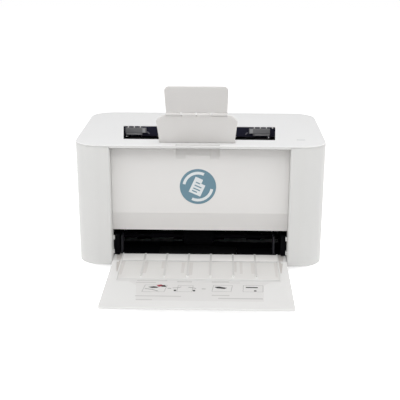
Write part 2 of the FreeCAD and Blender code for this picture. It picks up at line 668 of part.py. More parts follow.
def spring_places():
    return (PATH_X - SPRING_REACH, PATH_X + SPRING_REACH)


def power_board_posts():
    x0, x1, y0, y1 = POWER_BOARD
    return [(x, y) for x in (x0 + 4, x1 - 4) for y in (y0 + 6, y1 - 26)]


def side_boss(side):
    bosses = []
    for x, y in cover_screw_places():
        if x * side > 0:
            bosses.append(rod_z(4.0, x, y, BASE_TOP, 36.0))
            bosses.append(box(x, side * (BODY_WIDTH / 2 - 3), y - 1, y + 1, RIM_TOP + 0.5, 36.0))
    return bosses


def side_vents(side):
    slots = []
    for index in range(9):
        y = 96.0 + index * 9.0
        slots.append(box(side * (BODY_WIDTH / 2 - 8), side * (BODY_WIDTH / 2 + 1), y, y + 3.0, 40.0, 72.0))
    return slots


def side_cover(side):
    ring = body_ring(0, COVER_WALL, COVER_BOTTOM, SIDE_TOP)
    keep = box(side * RECESS_HALF, side * BODY_WIDTH, -1, BODY_DEPTH + 1, 0, BODY_TOP)
    if side > 0:
        rear_strip = box(REAR_RIGHT + PANEL_GAP / 2, BODY_WIDTH, BODY_DEPTH / 2, BODY_DEPTH + 1, 0, BODY_TOP)
        keep = join([keep, rear_strip])
    shell = ring.common(keep)
    front_edge = box(side * RECESS_HALF, side * (RECESS_HALF + COVER_WALL), 0, FRAME_FRONT - FRAME_GAP,
                     COVER_BOTTOM, SIDE_TOP)
    bumps = [box(side * (RECESS_HALF - BUMP_REACH), side * (RECESS_HALF + 0.5), y0, y0 + BUMP_DEPTH, z0,
                 z0 + BUMP_HEIGHT)
             for y0, z0 in BUMPS]
    cover = join([shell, front_edge] + bumps + side_boss(side))
    corner = [(side * (RECESS_HALF - 0.1), -0.1), (side * (RECESS_HALF + RECESS_CHAMFER), -0.1),
              (side * (RECESS_HALF - 0.1), RECESS_CHAMFER)]
    cuts = side_vents(side) + [prism_z(corner, COVER_BOTTOM - 1, SIDE_TOP + 1)]
    cuts.append(rod_x(TRAY_PIN + SHAFT_GAP, side * (RECESS_HALF - 1), side * (RECESS_HALF + COVER_WALL + 1),
                      TRAY_HINGE_Y, TRAY_HINGE_Z))
    for x, y in cover_screw_places():
        cuts.append(rod_z(SCREW_RADIUS + SHAFT_GAP, x, y, BASE_TOP, BASE_TOP + SCREW_LENGTH))
    if side > 0:
        cuts.append(box(INLET_X - INLET_WIDTH / 2 - 0.3, INLET_X + INLET_WIDTH / 2 + 0.3, INNER_BACK - 1,
                        BODY_DEPTH + 1, INLET_Z - INLET_HEIGHT / 2 - 0.3, INLET_Z + INLET_HEIGHT / 2 + 0.3))
        cuts.append(box(INLET_X - SWITCH_WIDTH / 2 - 0.3, INLET_X + SWITCH_WIDTH / 2 + 0.3, INNER_BACK - 1,
                        BODY_DEPTH + 1, SWITCH_Z - SWITCH_HEIGHT / 2 - 0.3,
                        SWITCH_Z + SWITCH_HEIGHT / 2 + 0.3))
        cuts.append(box(USB_RIGHT - USB_WIDTH - 0.3, USB_RIGHT + 0.3, INNER_BACK - 1,
                        BODY_DEPTH + 1, USB_Z - USB_HEIGHT / 2 - 0.3, USB_Z + USB_HEIGHT / 2 + 0.3))
        ear = rear_ear(REAR_RIGHT + PANEL_GAP / 2, REAR_RIGHT + PANEL_GAP / 2 + 3.0)
        cover = join([cover, ear])
    return less(cover, cuts)


def rear_ear(x0, x1):
    ear = box(x0, x1, REAR_HINGE_Y - 4, INNER_BACK + 0.5, REAR_HINGE_Z - 5, REAR_HINGE_Z + 5)
    return ear.cut(rod_x(REAR_PIN + SHAFT_GAP, x0 - 1, x1 + 1, REAR_HINGE_Y, REAR_HINGE_Z))


def window_points():
    return [(WINDOW_FRONT[0], WINDOW_FRONT_Y), (WINDOW_FRONT[1], WINDOW_FRONT_Y),
            (WINDOW_BACK[1], WINDOW_BACK_Y), (WINDOW_BACK[0], WINDOW_BACK_Y)]


def flap_knuckle_spans():
    outer = FLAP_BASE_WIDTH / 2
    left = SUPPORT_X - outer
    right = SUPPORT_X + outer
    return ((left, left + FLAP_KNUCKLE), (right - FLAP_KNUCKLE, right))


def support_channel(margin, z0, z1):
    half = FLAP_BASE_WIDTH / 2 + 1.0 + margin
    return box(SUPPORT_X - half, SUPPORT_X + half, SUPPORT_HINGE_Y - CHANNEL_FRONT_REACH - margin,
               SUPPORT_HINGE_Y + CHANNEL_BACK_REACH + margin, z0, z1)


def grip_dip():
    # shallow trough in the top, just behind its front edge
    half = (GRIP_DIP_BACK - GRIP_DIP_FRONT) / 2
    radius = (half ** 2 + GRIP_DIP ** 2) / (2 * GRIP_DIP)
    middle = (GRIP_DIP_BACK + GRIP_DIP_FRONT) / 2
    return rod_x(radius, GRIP_LEFT, GRIP_RIGHT, middle, BODY_TOP - GRIP_DIP + radius)


def top_cover():
    plate = body_block(0, TOP_UNDERSIDE, BODY_TOP)
    rims = [edge for edge in plate.Edges if edge.BoundBox.ZMin > BODY_TOP - 0.01]
    plate = plate.makeFillet(TOP_EDGE_ROUND, rims)
    lip_half = RECESS_HALF - FRAME_GAP
    lip = box(-lip_half, lip_half, 0, COVER_WALL, LIP_BOTTOM, TOP_UNDERSIDE + 0.5)
    lip = lip.cut(box(GRIP_LEFT, GRIP_RIGHT, -1, COVER_WALL + 1, 0, BODY_TOP - GRIP_LIP))
    well_bottom = CHANNEL_FLOOR - CHANNEL_SKIN
    well_front = SUPPORT_HINGE_Y - CHANNEL_FRONT_REACH
    grip = prism_x([(0, BODY_TOP - GRIP_LIP), (well_front, well_bottom), (well_front, TOP_UNDERSIDE + 0.5),
                    (0, TOP_UNDERSIDE + 0.5)], GRIP_LEFT, GRIP_RIGHT)
    rear = box(-lip_half, REAR_RIGHT - PANEL_GAP / 2, INNER_BACK, BODY_DEPTH, REAR_DOOR_TOP + PANEL_GAP,
               TOP_UNDERSIDE + 0.5)
    skirt = body_ring(COVER_WALL + FRAME_GAP, COVER_WALL + FRAME_GAP + 1.8, SIDE_TOP - 6, TOP_UNDERSIDE + 0.3)
    clear = FRAME_OUTER + 1
    skirt = skirt.cut(box(-clear, clear, -1, BODY_DEPTH + 1, 0, TOP_UNDERSIDE))
    stop_y = DOOR_BACK + DOOR_FLANGE + 1.5
    stop = box(-lip_half + 2, lip_half - 2, stop_y, stop_y + 2, FRAME_TOP, TOP_UNDERSIDE + 0.5)
    posts = [rod_z(2.5, x, y, CONTROL_BOARD_Z + BOARD_THICKNESS, TOP_UNDERSIDE + 0.5)
             for x, y in control_board_posts()]
    well = support_channel(CHANNEL_SKIN, well_bottom, TOP_UNDERSIDE + 0.5)
    lugs = [box(side * (FRAME_INNER + 0.2), side * (FRAME_OUTER - 0.2), y, y + FRAME_LUG_LENGTH, FRAME_TOP,
                TOP_UNDERSIDE + 0.5) for side in (-1, 1) for y in FRAME_LUG_YS]
    cover = join([plate, lip, grip, rear, skirt, stop, well] + posts + lugs)
    window = prism_z(window_points(), TOP_UNDERSIDE - 20, BODY_TOP + 1)
    button = rounded_slot(BUTTON_LENGTH + 2 * BUTTON_GAP, BUTTON_WIDTH + 2 * BUTTON_GAP,
                          TOP_UNDERSIDE - 1, BODY_TOP + 1)
    channel = support_channel(0, CHANNEL_FLOOR, BODY_TOP + 1)
    pins = rod_x(FLAP_PIN + SHAFT_GAP, SUPPORT_X - flap_pin_reach() - 0.2, SUPPORT_X + flap_pin_reach() + 0.2,
                 SUPPORT_HINGE_Y, SUPPORT_HINGE_Z)
    return less(cover, [window, button, grip_dip(), channel, pins])


def flap_pin_reach():
    return FLAP_BASE_WIDTH / 2 + 1.0 + CHANNEL_SKIN * 0.7


def control_board_posts():
    x0, x1, y0, y1 = CONTROL_BOARD
    return [(x0 + 3, y0 + 3), (x1 - 3, y0 + 3), (x0 + 3, y1 - 3), (x1 - 3, y1 - 3)]


def rounded_slot(length, width, z0, z1):
    radius = width / 2
    half = length / 2 - radius
    middle = box(BUTTON_X - half, BUTTON_X + half, BUTTON_Y - radius, BUTTON_Y + radius, z0, z1)
    ends = [rod_z(radius, BUTTON_X + side * half, BUTTON_Y, z0, z1) for side in (-1, 1)]
    return join([middle] + ends)


# ================================================================ front door, badge, rear door, tray
def grip_wedge(x0, x1, bottom):
    # the pocket grows deeper from its lower edge to the top of the door
    points = [(DOOR_SETBACK - 1, bottom), (DOOR_SETBACK, bottom), (DOOR_SETBACK + GRIP_DEPTH, DOOR_TOP + 1),
              (DOOR_SETBACK - 1, DOOR_TOP + 1)]
    return prism_x(points, x0, x1)


def front_door():
    skin = prism_x([(DOOR_SETBACK, DOOR_TOP), (DOOR_SETBACK, DOOR_BEND_Z), (DOOR_BOTTOM_Y, DOOR_BOTTOM_Z),
                    (DOOR_BOTTOM_Y + COVER_WALL, DOOR_BOTTOM_Z), (DOOR_BACK, DOOR_BEND_Z),
                    (DOOR_BACK, DOOR_TOP)],
                   -PANEL_HALF, PANEL_HALF)
    flange_back = DOOR_BACK + DOOR_FLANGE
    side_points = [(DOOR_SETBACK + 1, DOOR_TOP - 3), (DOOR_SETBACK + 1, DOOR_BEND_Z),
                   (DOOR_BOTTOM_Y + 1, DOOR_BOTTOM_Z + 0.8), (DOOR_HINGE_Y, DOOR_HINGE_Z - 4),
                   (DOOR_HINGE_Y + 4, DOOR_HINGE_Z), (DOOR_HINGE_Y + 3, DOOR_HINGE_Z + 4),
                   (flange_back, DOOR_HINGE_Z + 12), (flange_back, DOOR_TOP - 3)]
    flanges = [prism_x(side_points, side * PANEL_HALF, side * (PANEL_HALF - 2.5)) for side in (-1, 1)]
    backing = box(GRIP_LEFT - 2, GRIP_RIGHT + 2, DOOR_SETBACK + 1, flange_back,
                  DOOR_TOP - GRIP_HEIGHT - GRIP_FOOT_DROP - 2, DOOR_TOP)
    ribs = [box(-PANEL_HALF + 1, PANEL_HALF - 1, DOOR_BACK - 0.5, DOOR_BACK + 3, z, z + 1.6)
            for z in (DOOR_BEND_Z + 13, DOOR_TOP - 29.6)]
    pins = [rod_x(DOOR_PIN, side * (PANEL_HALF - 2.5), side * (FRAME_INNER + 3.0), DOOR_HINGE_Y, DOOR_HINGE_Z)
            for side in (-1, 1)]
    door = join([skin, backing] + flanges + ribs + pins)
    low = DOOR_TOP - GRIP_HEIGHT
    foot = low - GRIP_FOOT_DROP
    left = GRIP_LEFT + GRIP_FOOT_INSET
    right = GRIP_RIGHT - GRIP_FOOT_INSET
    scoops = [grip_wedge(GRIP_LEFT, GRIP_RIGHT, low), grip_wedge(left, left + GRIP_FOOT_WIDTH, foot),
              grip_wedge(right - GRIP_FOOT_WIDTH, right, foot)]
    seat = rod_y(BADGE_RADIUS + 0.1, BADGE_X, DOOR_SETBACK - 1, DOOR_SETBACK + BADGE_RECESS, BADGE_Z)
    return less(door, scoops + [seat])


def badge():
    back = DOOR_SETBACK + BADGE_RECESS
    return rod_y(BADGE_RADIUS, BADGE_X, back - BADGE_THICKNESS, back, BADGE_Z)


def rear_door():
    left = -PANEL_HALF
    right = REAR_RIGHT - PANEL_GAP / 2
    skin = box(left, right, INNER_BACK, BODY_DEPTH, REAR_DOOR_BOTTOM, REAR_DOOR_TOP)
    ears = [box(x, x + 3, REAR_HINGE_Y - 2.2, INNER_BACK + 0.5, REAR_DOOR_BOTTOM, REAR_HINGE_Z + 6)
            for x in (left, right - 3)]
    low = REAR_DOOR_BOTTOM + 25.5
    high = REAR_DOOR_TOP - 6.0
    ribs = []
    count = 7
    for index in range(count):
        x = left + 14 + index * (right - left - 28) / (count - 1)
        profile = [(INNER_BACK + 0.5, low), (INNER_BACK - 5, low + 8), (INNER_BACK - 9, low + 32),
                   (INNER_BACK - 9, high - 38), (INNER_BACK - 14, high - 12), (INNER_BACK - 14, high),
                   (INNER_BACK + 0.5, high)]
        ribs.append(prism_x(profile, x - 0.9, x + 0.9))
    pins = [rod_x(REAR_PIN, left + 2, -FRAME_INNER - 2.5, REAR_HINGE_Y, REAR_HINGE_Z),
            rod_x(REAR_PIN, right - 2, right + 3.2, REAR_HINGE_Y, REAR_HINGE_Z)]
    return join([skin] + ears + ribs + pins)


def paper_tray():
    back = TRAY_HINGE_Y + 1.9
    front = -TRAY_REACH
    plate = box(-PANEL_HALF, PANEL_HALF, front, back, TRAY_BOTTOM, TRAY_TOP)
    corners = [edge for edge in plate.Edges
               if edge.BoundBox.ZLength > TRAY_THICKNESS - 0.01 and edge.BoundBox.YMax < front + 1]
    plate = plate.makeFillet(TRAY_CORNER, corners)
    rims = [edge for edge in plate.Edges if edge.BoundBox.ZLength < 0.01 and edge.BoundBox.YMax < back - 0.01]
    plate = plate.makeFillet(0.5, rims)
    ramp = 14.0
    floor = TRAY_TOP - TRAY_CHANNEL_DEPTH
    channel = prism_x([(CHANNEL_FRONT - ramp, TRAY_TOP), (CHANNEL_FRONT, floor), (back + 1, floor),
                       (back + 1, TRAY_TOP + 1), (CHANNEL_FRONT - ramp, TRAY_TOP + 1)],
                      -CHANNEL_HALF, CHANNEL_HALF)
    cuts = [channel]
    for side in (-1, 1):
        inner = side * (CHANNEL_HALF + CHANNEL_WALL)
        groove = [(inner, GROOVE_FRONT), (side * groove_outer(GROOVE_FRONT), GROOVE_FRONT),
                  (side * groove_outer(back + 1), back + 1), (inner, back + 1)]
        cuts.append(prism_z(groove, floor, TRAY_TOP + 1))
    tray = less(plate, cuts)
    ribs = channel_ribs(RIB_FRONT, back, floor - 0.5)
    barrels = [rod_x(1.9, side * (PANEL_HALF - 8), side * PANEL_HALF, TRAY_HINGE_Y, TRAY_HINGE_Z)
               for side in (-1, 1)]
    pins = [rod_x(TRAY_PIN, side * (PANEL_HALF - 1), side * (RECESS_HALF + COVER_WALL - 0.2),
                  TRAY_HINGE_Y, TRAY_HINGE_Z) for side in (-1, 1)]
    return join([tray] + ribs + barrels + pins)


# ================================================================ output support
def raise_support(shape):
    shape.translate(Vector(0, SUPPORT_HINGE_Y, SUPPORT_HINGE_Z))
    shape.rotate(Vector(0, SUPPORT_HINGE_Y, SUPPORT_HINGE_Z), Vector(1, 0, 0), SUPPORT_TURN)
    return shape


def fold_knuckles():
    # four knuckles: the outer two belong to the extension, the inner two to the flap
    edges = [SUPPORT_X - EXTENSION_WIDTH / 2]
    middle = SUPPORT_X - 0.5
    for index in (-1, 0, 1):
        edges.append(middle + index * FOLD_PITCH - FOLD_SLIT / 2)
        edges.append(middle + index * FOLD_PITCH + FOLD_SLIT / 2)
    edges.append(SUPPORT_X + EXTENSION_WIDTH / 2)
    return [(edges[index], edges[index + 1]) for index in range(0, 8, 2)]


def output_flap():
    half_base = FLAP_BASE_WIDTH / 2
    half_top = FLAP_TOP_WIDTH / 2
    cut_x, cut_u = FLAP_CHAMFER
    points = [(SUPPORT_X - half_base, FLAP_START), (SUPPORT_X + half_base, FLAP_START),
              (SUPPORT_X + half_top, FLAP_END - cut_u), (SUPPORT_X + half_top - cut_x, FLAP_END),
              (SUPPORT_X - half_top + cut_x, FLAP_END), (SUPPORT_X - half_top, FLAP_END - cut_u)]
    plate = prism_z(points, PLATE_LOW, PLATE_HIGH)
    corners = [edge for edge in plate.Edges
               if edge.BoundBox.ZLength > SUPPORT_THICKNESS - 0.01
               and edge.BoundBox.YMin > FLAP_END - cut_u - 0.01]
    plate = plate.makeFillet(FLAP_CORNER, corners)
    pieces = [plate, rod_x(FLAP_PIN, SUPPORT_X - flap_pin_reach(), SUPPORT_X - half_base + 2, 0, 0),
              rod_x(FLAP_PIN, SUPPORT_X + half_base - 2, SUPPORT_X + flap_pin_reach(), 0, 0)]
    for x0, x1 in flap_knuckle_spans():
        pieces.append(rod_x(FLAP_BARREL, x0, x1, 0, 0))
        pieces.append(prism_x([(-1.2, 1.2), (-0.4, PLATE_HIGH - 0.7), (0.6, PLATE_HIGH),
                               (FLAP_START + 2, PLATE_HIGH), (FLAP_START + 2, PLATE_LOW),
                               (FLAP_BARREL, 0)], x0, x1))
    outer_left, inner_left, inner_right, outer_right = fold_knuckles()
    for x0, x1 in (inner_left, inner_right):
        pieces.append(rod_x(FOLD_BARREL, x0, x1, FOLD_U, FOLD_V))
        pieces.append(prism_x([(FLAP_END - 2, PLATE_LOW), (FOLD_U, PLATE_LOW), (FOLD_U, PLATE_HIGH),
                               (FLAP_END - 2, PLATE_HIGH)], x0, x1))
    flap = join(pieces)
    reach = FOLD_BARREL + MOVING_GAP
    clear = [rod_x(reach, x0 - MOVING_GAP, x1 + MOVING_GAP, FOLD_U, FOLD_V)
             for x0, x1 in (outer_left, outer_right)]
    bore = rod_x(FOLD_PIN, SUPPORT_X - EXTENSION_WIDTH, SUPPORT_X + EXTENSION_WIDTH, FOLD_U, FOLD_V)
    return raise_support(less(flap, clear + [bore]))


def output_extension():
    half = EXTENSION_WIDTH / 2
    half_top = EXTENSION_TOP_WIDTH / 2
    start = FLAP_END + FOLD_GAP
    points = [(SUPPORT_X - half, start), (SUPPORT_X + half, start),
              (SUPPORT_X + half_top, EXTENSION_END), (SUPPORT_X - half_top, EXTENSION_END)]
    plate = prism_z(points, PLATE_LOW, PLATE_HIGH)
    corners = [edge for edge in plate.Edges
               if edge.BoundBox.ZLength > SUPPORT_THICKNESS - 0.01
               and edge.BoundBox.YMin > EXTENSION_END - 0.01]
    plate = plate.makeFillet(EXTENSION_CORNER, corners)
    outer_left, inner_left, inner_right, outer_right = fold_knuckles()
    pieces = [plate]
    for x0, x1 in (outer_left, outer_right):
        pieces.append(rod_x(FOLD_BARREL, x0, x1, FOLD_U, FOLD_V))
    extension = join(pieces)
    reach = FOLD_BARREL + MOVING_GAP
    clear = []
    slits = [(outer_left[1], inner_left[0]), (inner_left[1], inner_right[0]),
             (inner_right[1], outer_right[0])]
    for x0, x1 in slits + [inner_left, inner_right]:
        clear.append(box(x0 - 0.01, x1 + 0.01, start - 1, FOLD_U + reach, PLATE_LOW - 1, PLATE_HIGH + 1))
    clear.append(rod_x(FOLD_PIN + SHAFT_GAP, SUPPORT_X - half - 1, SUPPORT_X + half + 1, FOLD_U, FOLD_V))
    return raise_support(less(extension, clear))


def fold_pin():
    half = EXTENSION_WIDTH / 2 - 0.5
    return raise_support(rod_x(FOLD_PIN, SUPPORT_X - half, SUPPORT_X + half, FOLD_U, FOLD_V))


# ================================================================ paper path
def feed_base():
    half = FRAME_INNER - FRAME_GAP
    floor = box(-half, half, SLOT_Y, FLOOR_BACK, FLOOR_UNDER, FLOOR_TOP)
    cheek_inner = CHANNEL_HALF + CHANNEL_WALL + 4
    cheeks = [box(side * cheek_inner, side * half, DOOR_HINGE_Y - 2, FLOOR_BACK, TRAY_TOP + 0.5,
                  SLOT_CHEEK_TOP)
              for side in (-1, 1)]
    seats = [box(side * cheek_inner, side * half, SLOT_Y, FLOOR_BACK, FLOOR_UNDER, TRAY_TOP + 1)
             for side in (-1, 1)]
    feet = [box(x - 2, x + 2, FLOOR_BACK - 8, FLOOR_BACK, BASE_TOP, FLOOR_UNDER + 0.5)
            for x in (-half + 4, -60.0, 60.0, half - 4)]
    base = join([floor] + cheeks + seats + feet)
    opening = box(PATH_X - LIFT_HALF - 0.5, PATH_X + LIFT_HALF + 0.5, SLOT_Y + 0.8, LIFT_BACK + 0.6,
                  FLOOR_UNDER - 1, FLOOR_TOP + 1)
    cuts = [opening, rod_x(SHAFT_RADIUS + 0.5, -half - 1, half + 1, PICKUP_Y, PICKUP_Z)]
    for side in (-1, 1):
        x0 = guide_inner(side) + side * (GUIDE_THICKNESS + 0.6)
        x1 = guide_inner(side) - side * (GUIDE_TRAVEL + 0.8)
        y0, y1 = guide_post(side)
        cuts.append(box(x0, x1, y0 - MOVING_GAP, y1 + MOVING_GAP, FLOOR_UNDER - 1, FLOOR_TOP + 1))
        cuts.append(rod_x(LIFT_PIN + SHAFT_GAP, PATH_X + side * (LIFT_HALF - 2),
                          PATH_X + side * (LIFT_HALF + 3.5),
                          LIFT_HINGE_Y, LIFT_HINGE_Z))
    return less(base, cuts)


def guide_inner(side):
    return PATH_X + side * (PAPER_WIDTH / 2 + 0.2)


def guide_post(side):
    # rack body behind its teeth: the left guide's rack lies in front of the pinion, the right one's behind
    back = RACK_GEAR_Y + side * (RACK_PITCH_RADIUS + 1.1 * GEAR_MODULE)
    far = back + side * POST_WIDTH
    return (min(back, far), max(back, far))


def rack_teeth(side, start, end):
    # trapezoid teeth towards the pinion, with a gap of the rack opposite the pinion's tooth
    pitch = math.pi * GEAR_MODULE
    slope = math.tan(math.radians(PRESSURE_ANGLE))
    line = RACK_GEAR_Y + side * RACK_PITCH_RADIUS
    root = line + side * 1.15 * GEAR_MODULE
    tip = line - side * 0.8 * GEAR_MODULE
    half = pitch / 4 - BACKLASH / 4
    teeth = []
    first = math.ceil((start - PATH_X) / pitch - 0.5)
    last = math.floor((end - PATH_X) / pitch - 0.5)
    for index in range(first, last + 1):
        x = PATH_X + (index + 0.5) * pitch
        if x - 1.5 < start or x + 1.5 > end:
            continue
        low = half + 1.15 * GEAR_MODULE * slope
        high = half - 0.8 * GEAR_MODULE * slope
        teeth.append(prism_z([(x - low, root), (x + low, root), (x + high, tip), (x - high, tip)],
                             RACK_BOTTOM, RACK_TOP))
    return teeth


def paper_guide(side):
    inner = guide_inner(side)
    outer = inner + side * GUIDE_THICKNESS
    low = FLOOR_TOP + MOVING_GAP
    y0, y1 = guide_post(side)
    fence = box(inner, outer, GUIDE_FRONT, y1 if side > 0 else GUIDE_BACK, low, low + GUIDE_HEIGHT)
    foot = box(inner, outer + side * 1.0, GUIDE_FRONT, GUIDE_BACK, low, low + 1.6)
    post = box(inner, outer, y0, y1, RACK_BOTTOM, low + 0.5)
    reach = PATH_X + side * -8.0
    rack = box(outer, reach, y0, y1, RACK_BOTTOM, RACK_TOP)
    teeth = rack_teeth(side, min(outer, reach), max(outer, reach))
    return join([fence, foot, post, rack] + teeth)


def guide_pinion():
    points = [(x + PATH_X, y + RACK_GEAR_Y) for x, y in gear_outline(RACK_GEAR_TEETH, math.pi / 2)]
    body = prism_z(points, RACK_BOTTOM, RACK_TOP)
    return body.cut(rod_z(STUD_RADIUS + SHAFT_GAP, PATH_X, RACK_GEAR_Y, 0, RACK_TOP + 1))


def lift_plate():
    plate = box(PATH_X - LIFT_HALF, PATH_X + LIFT_HALF, SLOT_Y + 1.4, LIFT_BACK, FLOOR_TOP - LIFT_THICKNESS,
                FLOOR_TOP)
    pins = [rod_x(LIFT_PIN, PATH_X + side * (LIFT_HALF - 2), PATH_X + side * (LIFT_HALF + 3.0),
                  LIFT_HINGE_Y, LIFT_HINGE_Z) for side in (-1, 1)]
    return join([plate] + pins)


def lift_springs():
    low = BASE_TOP + 1.2
    high = FLOOR_TOP - LIFT_THICKNESS
    wire = 0.4
    springs = []
    turns = 3
    rise = (high - low - 2 * wire) / turns
    for x in spring_places():
        coil = Part.makeHelix(rise, high - low - 2 * wire, 2.2)
        circle = Part.makeCircle(wire, Vector(2.2, 0, 0), Vector(0, 1, 0))
        spring = Part.Wire(coil.Edges).makePipeShell([Part.Wire([circle])], True, True)
        spring.translate(Vector(x, SPRING_Y, low + wire))
        springs.append(spring)
    return group(springs)


def pickup_shaft():
    left = GEAR_LEFT - 1.5
    shaft = rod_x(SHAFT_RADIUS, left, FRAME_OUTER - 1, PICKUP_Y, PICKUP_Z)
    hub = rod_x(8.0, PATH_X - 22, PATH_X + 22, PICKUP_Y, PICKUP_Z)
    gear = gear_x(PICKUP_TEETH, PICKUP_PHASE, PICKUP, GEAR_LEFT, GEAR_RIGHT, SHAFT_RADIUS - 0.5)
    return join([shaft, hub, gear])


def pickup_tyre():
    tyre = rod_x(PICKUP_RADIUS, PATH_X - 20, PATH_X + 20, PICKUP_Y, PICKUP_Z)
    return tyre.cut(rod_x(8.0, PATH_X - 30, PATH_X + 30, PICKUP_Y, PICKUP_Z))


def separation_pad():
    angle = math.radians(-60)
    reach = PICKUP_RADIUS + NIP_GAP
    contact = (PICKUP_Y + reach * math.cos(angle), PICKUP_Z + reach * math.sin(angle))
    along = (-math.sin(angle), math.cos(angle))
    low = (contact[0] - 7 * along[0], contact[1] - 7 * along[1])
    high = (contact[0] + 8 * along[0], contact[1] + 8 * along[1])
    points = [low, high, (high[0] + 2, high[1]), (high[0] + 2, FLOOR_TOP), (low[0], FLOOR_TOP)]
    return prism_x(points, PATH_X - 18, PATH_X + 18)


def feed_roller():
    left = GEAR_LEFT - 1.5
    shaft = rod_x(SHAFT_RADIUS, left, FRAME_OUTER - 1, FEED_Y, FEED_Z)
    sleeve = rod_x(FEED_RADIUS, PATH_X - PAPER_WIDTH / 2, PATH_X + PAPER_WIDTH / 2, FEED_Y, FEED_Z)
    gear = gear_x(FEED_TEETH, FEED_PHASE, FEED, GEAR_LEFT, GEAR_RIGHT, SHAFT_RADIUS - 0.5)
    return join([shaft, sleeve, gear])


def feed_pinch():
    shaft = rod_x(SHAFT_RADIUS, -FRAME_OUTER + 1, FRAME_OUTER - 1, FEED_PINCH[0], FEED_PINCH[1])
    rollers = [rod_x(FEED_PINCH_RADIUS, PATH_X + x - 10, PATH_X + x + 10, FEED_PINCH[0], FEED_PINCH[1])
               for x in (-80, -27, 27, 80)]
    return join([shaft] + rollers)


def transfer_roller():
    left = GEAR_LEFT - 1.5
    shaft = rod_x(SHAFT_RADIUS, left, FRAME_OUTER - 1, TRANSFER[0], TRANSFER[1])
    sleeve = rod_x(TRANSFER_RADIUS, PATH_X - SLEEVE_HALF, PATH_X + SLEEVE_HALF, TRANSFER[0], TRANSFER[1])
    gear = gear_x(TRANSFER_TEETH, TRANSFER_PHASE, TRANSFER, GEAR_LEFT, GEAR_RIGHT, SHAFT_RADIUS - 0.5)
    return join([shaft, sleeve, gear])


# ================================================================ toner cartridge
def cartridge_housing():
    left = -CARTRIDGE_HALF
    right = CARTRIDGE_HALF
    low = DRUM_Z - 4.5
    front = DRUM_Y - 66.0
    back = DRUM_Y + 21.0
    top = DECK_Z - 5.0
    profile = [(front, top - 35), (front, top - 7), (front + 8, top - 1), (back - 31, top),
               (back - 3, top - 9),
               (back, DRUM_Z + 20.7), (back - 2, low), (front + 36, low + 5), (front + 22, DRUM_Z + 8.7),
               (front + 10, DRUM_Z + 10.7)]
    body = prism_x(profile, left, right)
    inner = 4.0
    cuts = [rod_x(DRUM_RADIUS + 0.6, left + inner, right - inner, DRUM_Y, DRUM_Z),
            rod_x(DEVELOPER_RADIUS + 0.5, left + inner, right - inner, DEVELOPER[0], DEVELOPER[1]),
            rod_x(SHAFT_RADIUS + SHAFT_GAP, left - 1, right + 1, DRUM_Y, DRUM_Z),
            rod_x(SHAFT_RADIUS + SHAFT_GAP, left - 1, right + 1, DEVELOPER[0], DEVELOPER[1])]
    grip = box(PATH_X - 40, PATH_X + 40, front - 2, front + 8, top - 29, top - 13)
    return less(body, cuts + [grip])


def photo_drum():
    half = CARTRIDGE_HALF - 5
    tube = rod_x(DRUM_RADIUS, -half, half, DRUM_Y, DRUM_Z)
    tube = tube.cut(rod_x(DRUM_RADIUS - DRUM_WALL, -half + 6, half - 6, DRUM_Y, DRUM_Z))
    shaft = rod_x(SHAFT_RADIUS, GEAR_LEFT - 1.5, FRAME_OUTER - 1, DRUM_Y, DRUM_Z)
    return join([tube, shaft])


def drum_gear():
    return gear_x(DRUM_TEETH, DRUM_PHASE, DRUM, GEAR_LEFT, GEAR_RIGHT, SHAFT_RADIUS)


def developer_roller():
    sleeve = rod_x(DEVELOPER_RADIUS, -CARTRIDGE_HALF + 5, CARTRIDGE_HALF - 5, DEVELOPER[0], DEVELOPER[1])
    shaft = rod_x(SHAFT_RADIUS, -CARTRIDGE_HALF + 0.5, CARTRIDGE_HALF - 0.5, DEVELOPER[0], DEVELOPER[1])
    return join([sleeve, shaft])


# ================================================================ fuser
def fuser_frame():
    block = box(-FUSER_HALF, FUSER_HALF, FUSER_FRAME_FRONT, FUSER_FRAME_BACK, BASE_TOP, FUSER_FRAME_TOP)
    wall = 2.5
    hollow = box(-FUSER_HALF + 4, FUSER_HALF - 4, FUSER_FRAME_FRONT + wall, FUSER_FRAME_BACK - wall,
                 BASE_TOP - 1, FUSER_FRAME_TOP - wall)
    nip = (FUSER_Z + PRESSURE[1]) / 2
    slot = box(-FUSER_HALF + 6, FUSER_HALF - 6, FUSER_FRAME_FRONT - 1, FUSER_FRAME_BACK + 1, nip - 5, nip + 7)
    bores = [rod_x(JOURNAL + SHAFT_GAP, -FUSER_HALF - 1, FUSER_HALF + 1, FUSER_Y, z)
             for z in (FUSER_Z, PRESSURE[1])]
    return less(block, [hollow, slot] + bores)


def heat_roller():
    sleeve = rod_x(FUSER_RADIUS, PATH_X - SLEEVE_HALF, PATH_X + SLEEVE_HALF, FUSER_Y, FUSER_Z)
    shaft = rod_x(JOURNAL, GEAR_LEFT - 1.5, FUSER_HALF - 0.5, FUSER_Y, FUSER_Z)
    return join([sleeve, shaft])


def fuser_gear():
    return gear_x(FUSER_TEETH, FUSER_PHASE, FUSER, GEAR_LEFT, GEAR_RIGHT, JOURNAL)


def pressure_roller():
    sleeve = rod_x(FUSER_RADIUS, PATH_X - SLEEVE_HALF, PATH_X + SLEEVE_HALF, PRESSURE[0], PRESSURE[1])
    shaft = rod_x(JOURNAL, -FUSER_HALF + 0.5, FUSER_HALF - 0.5, PRESSURE[0], PRESSURE[1])
    return join([sleeve, shaft])


# ================================================================ exit
def exit_roller():
    shaft = rod_x(SHAFT_RADIUS, GEAR_LEFT - 1.5, FRAME_OUTER - 1, EXIT_Y, EXIT_Z)
    rollers = []
    for x in pinch_places() + [PATH_X - 36.5, PATH_X + 36.5]:
        rollers.append(rod_x(EXIT_RADIUS, x - 8, x + 8, EXIT_Y, EXIT_Z))
    gear = gear_x(EXIT_TEETH, EXIT_PHASE, EXIT, GEAR_LEFT, GEAR_RIGHT, SHAFT_RADIUS - 0.5)
    return join([shaft, gear] + rollers)


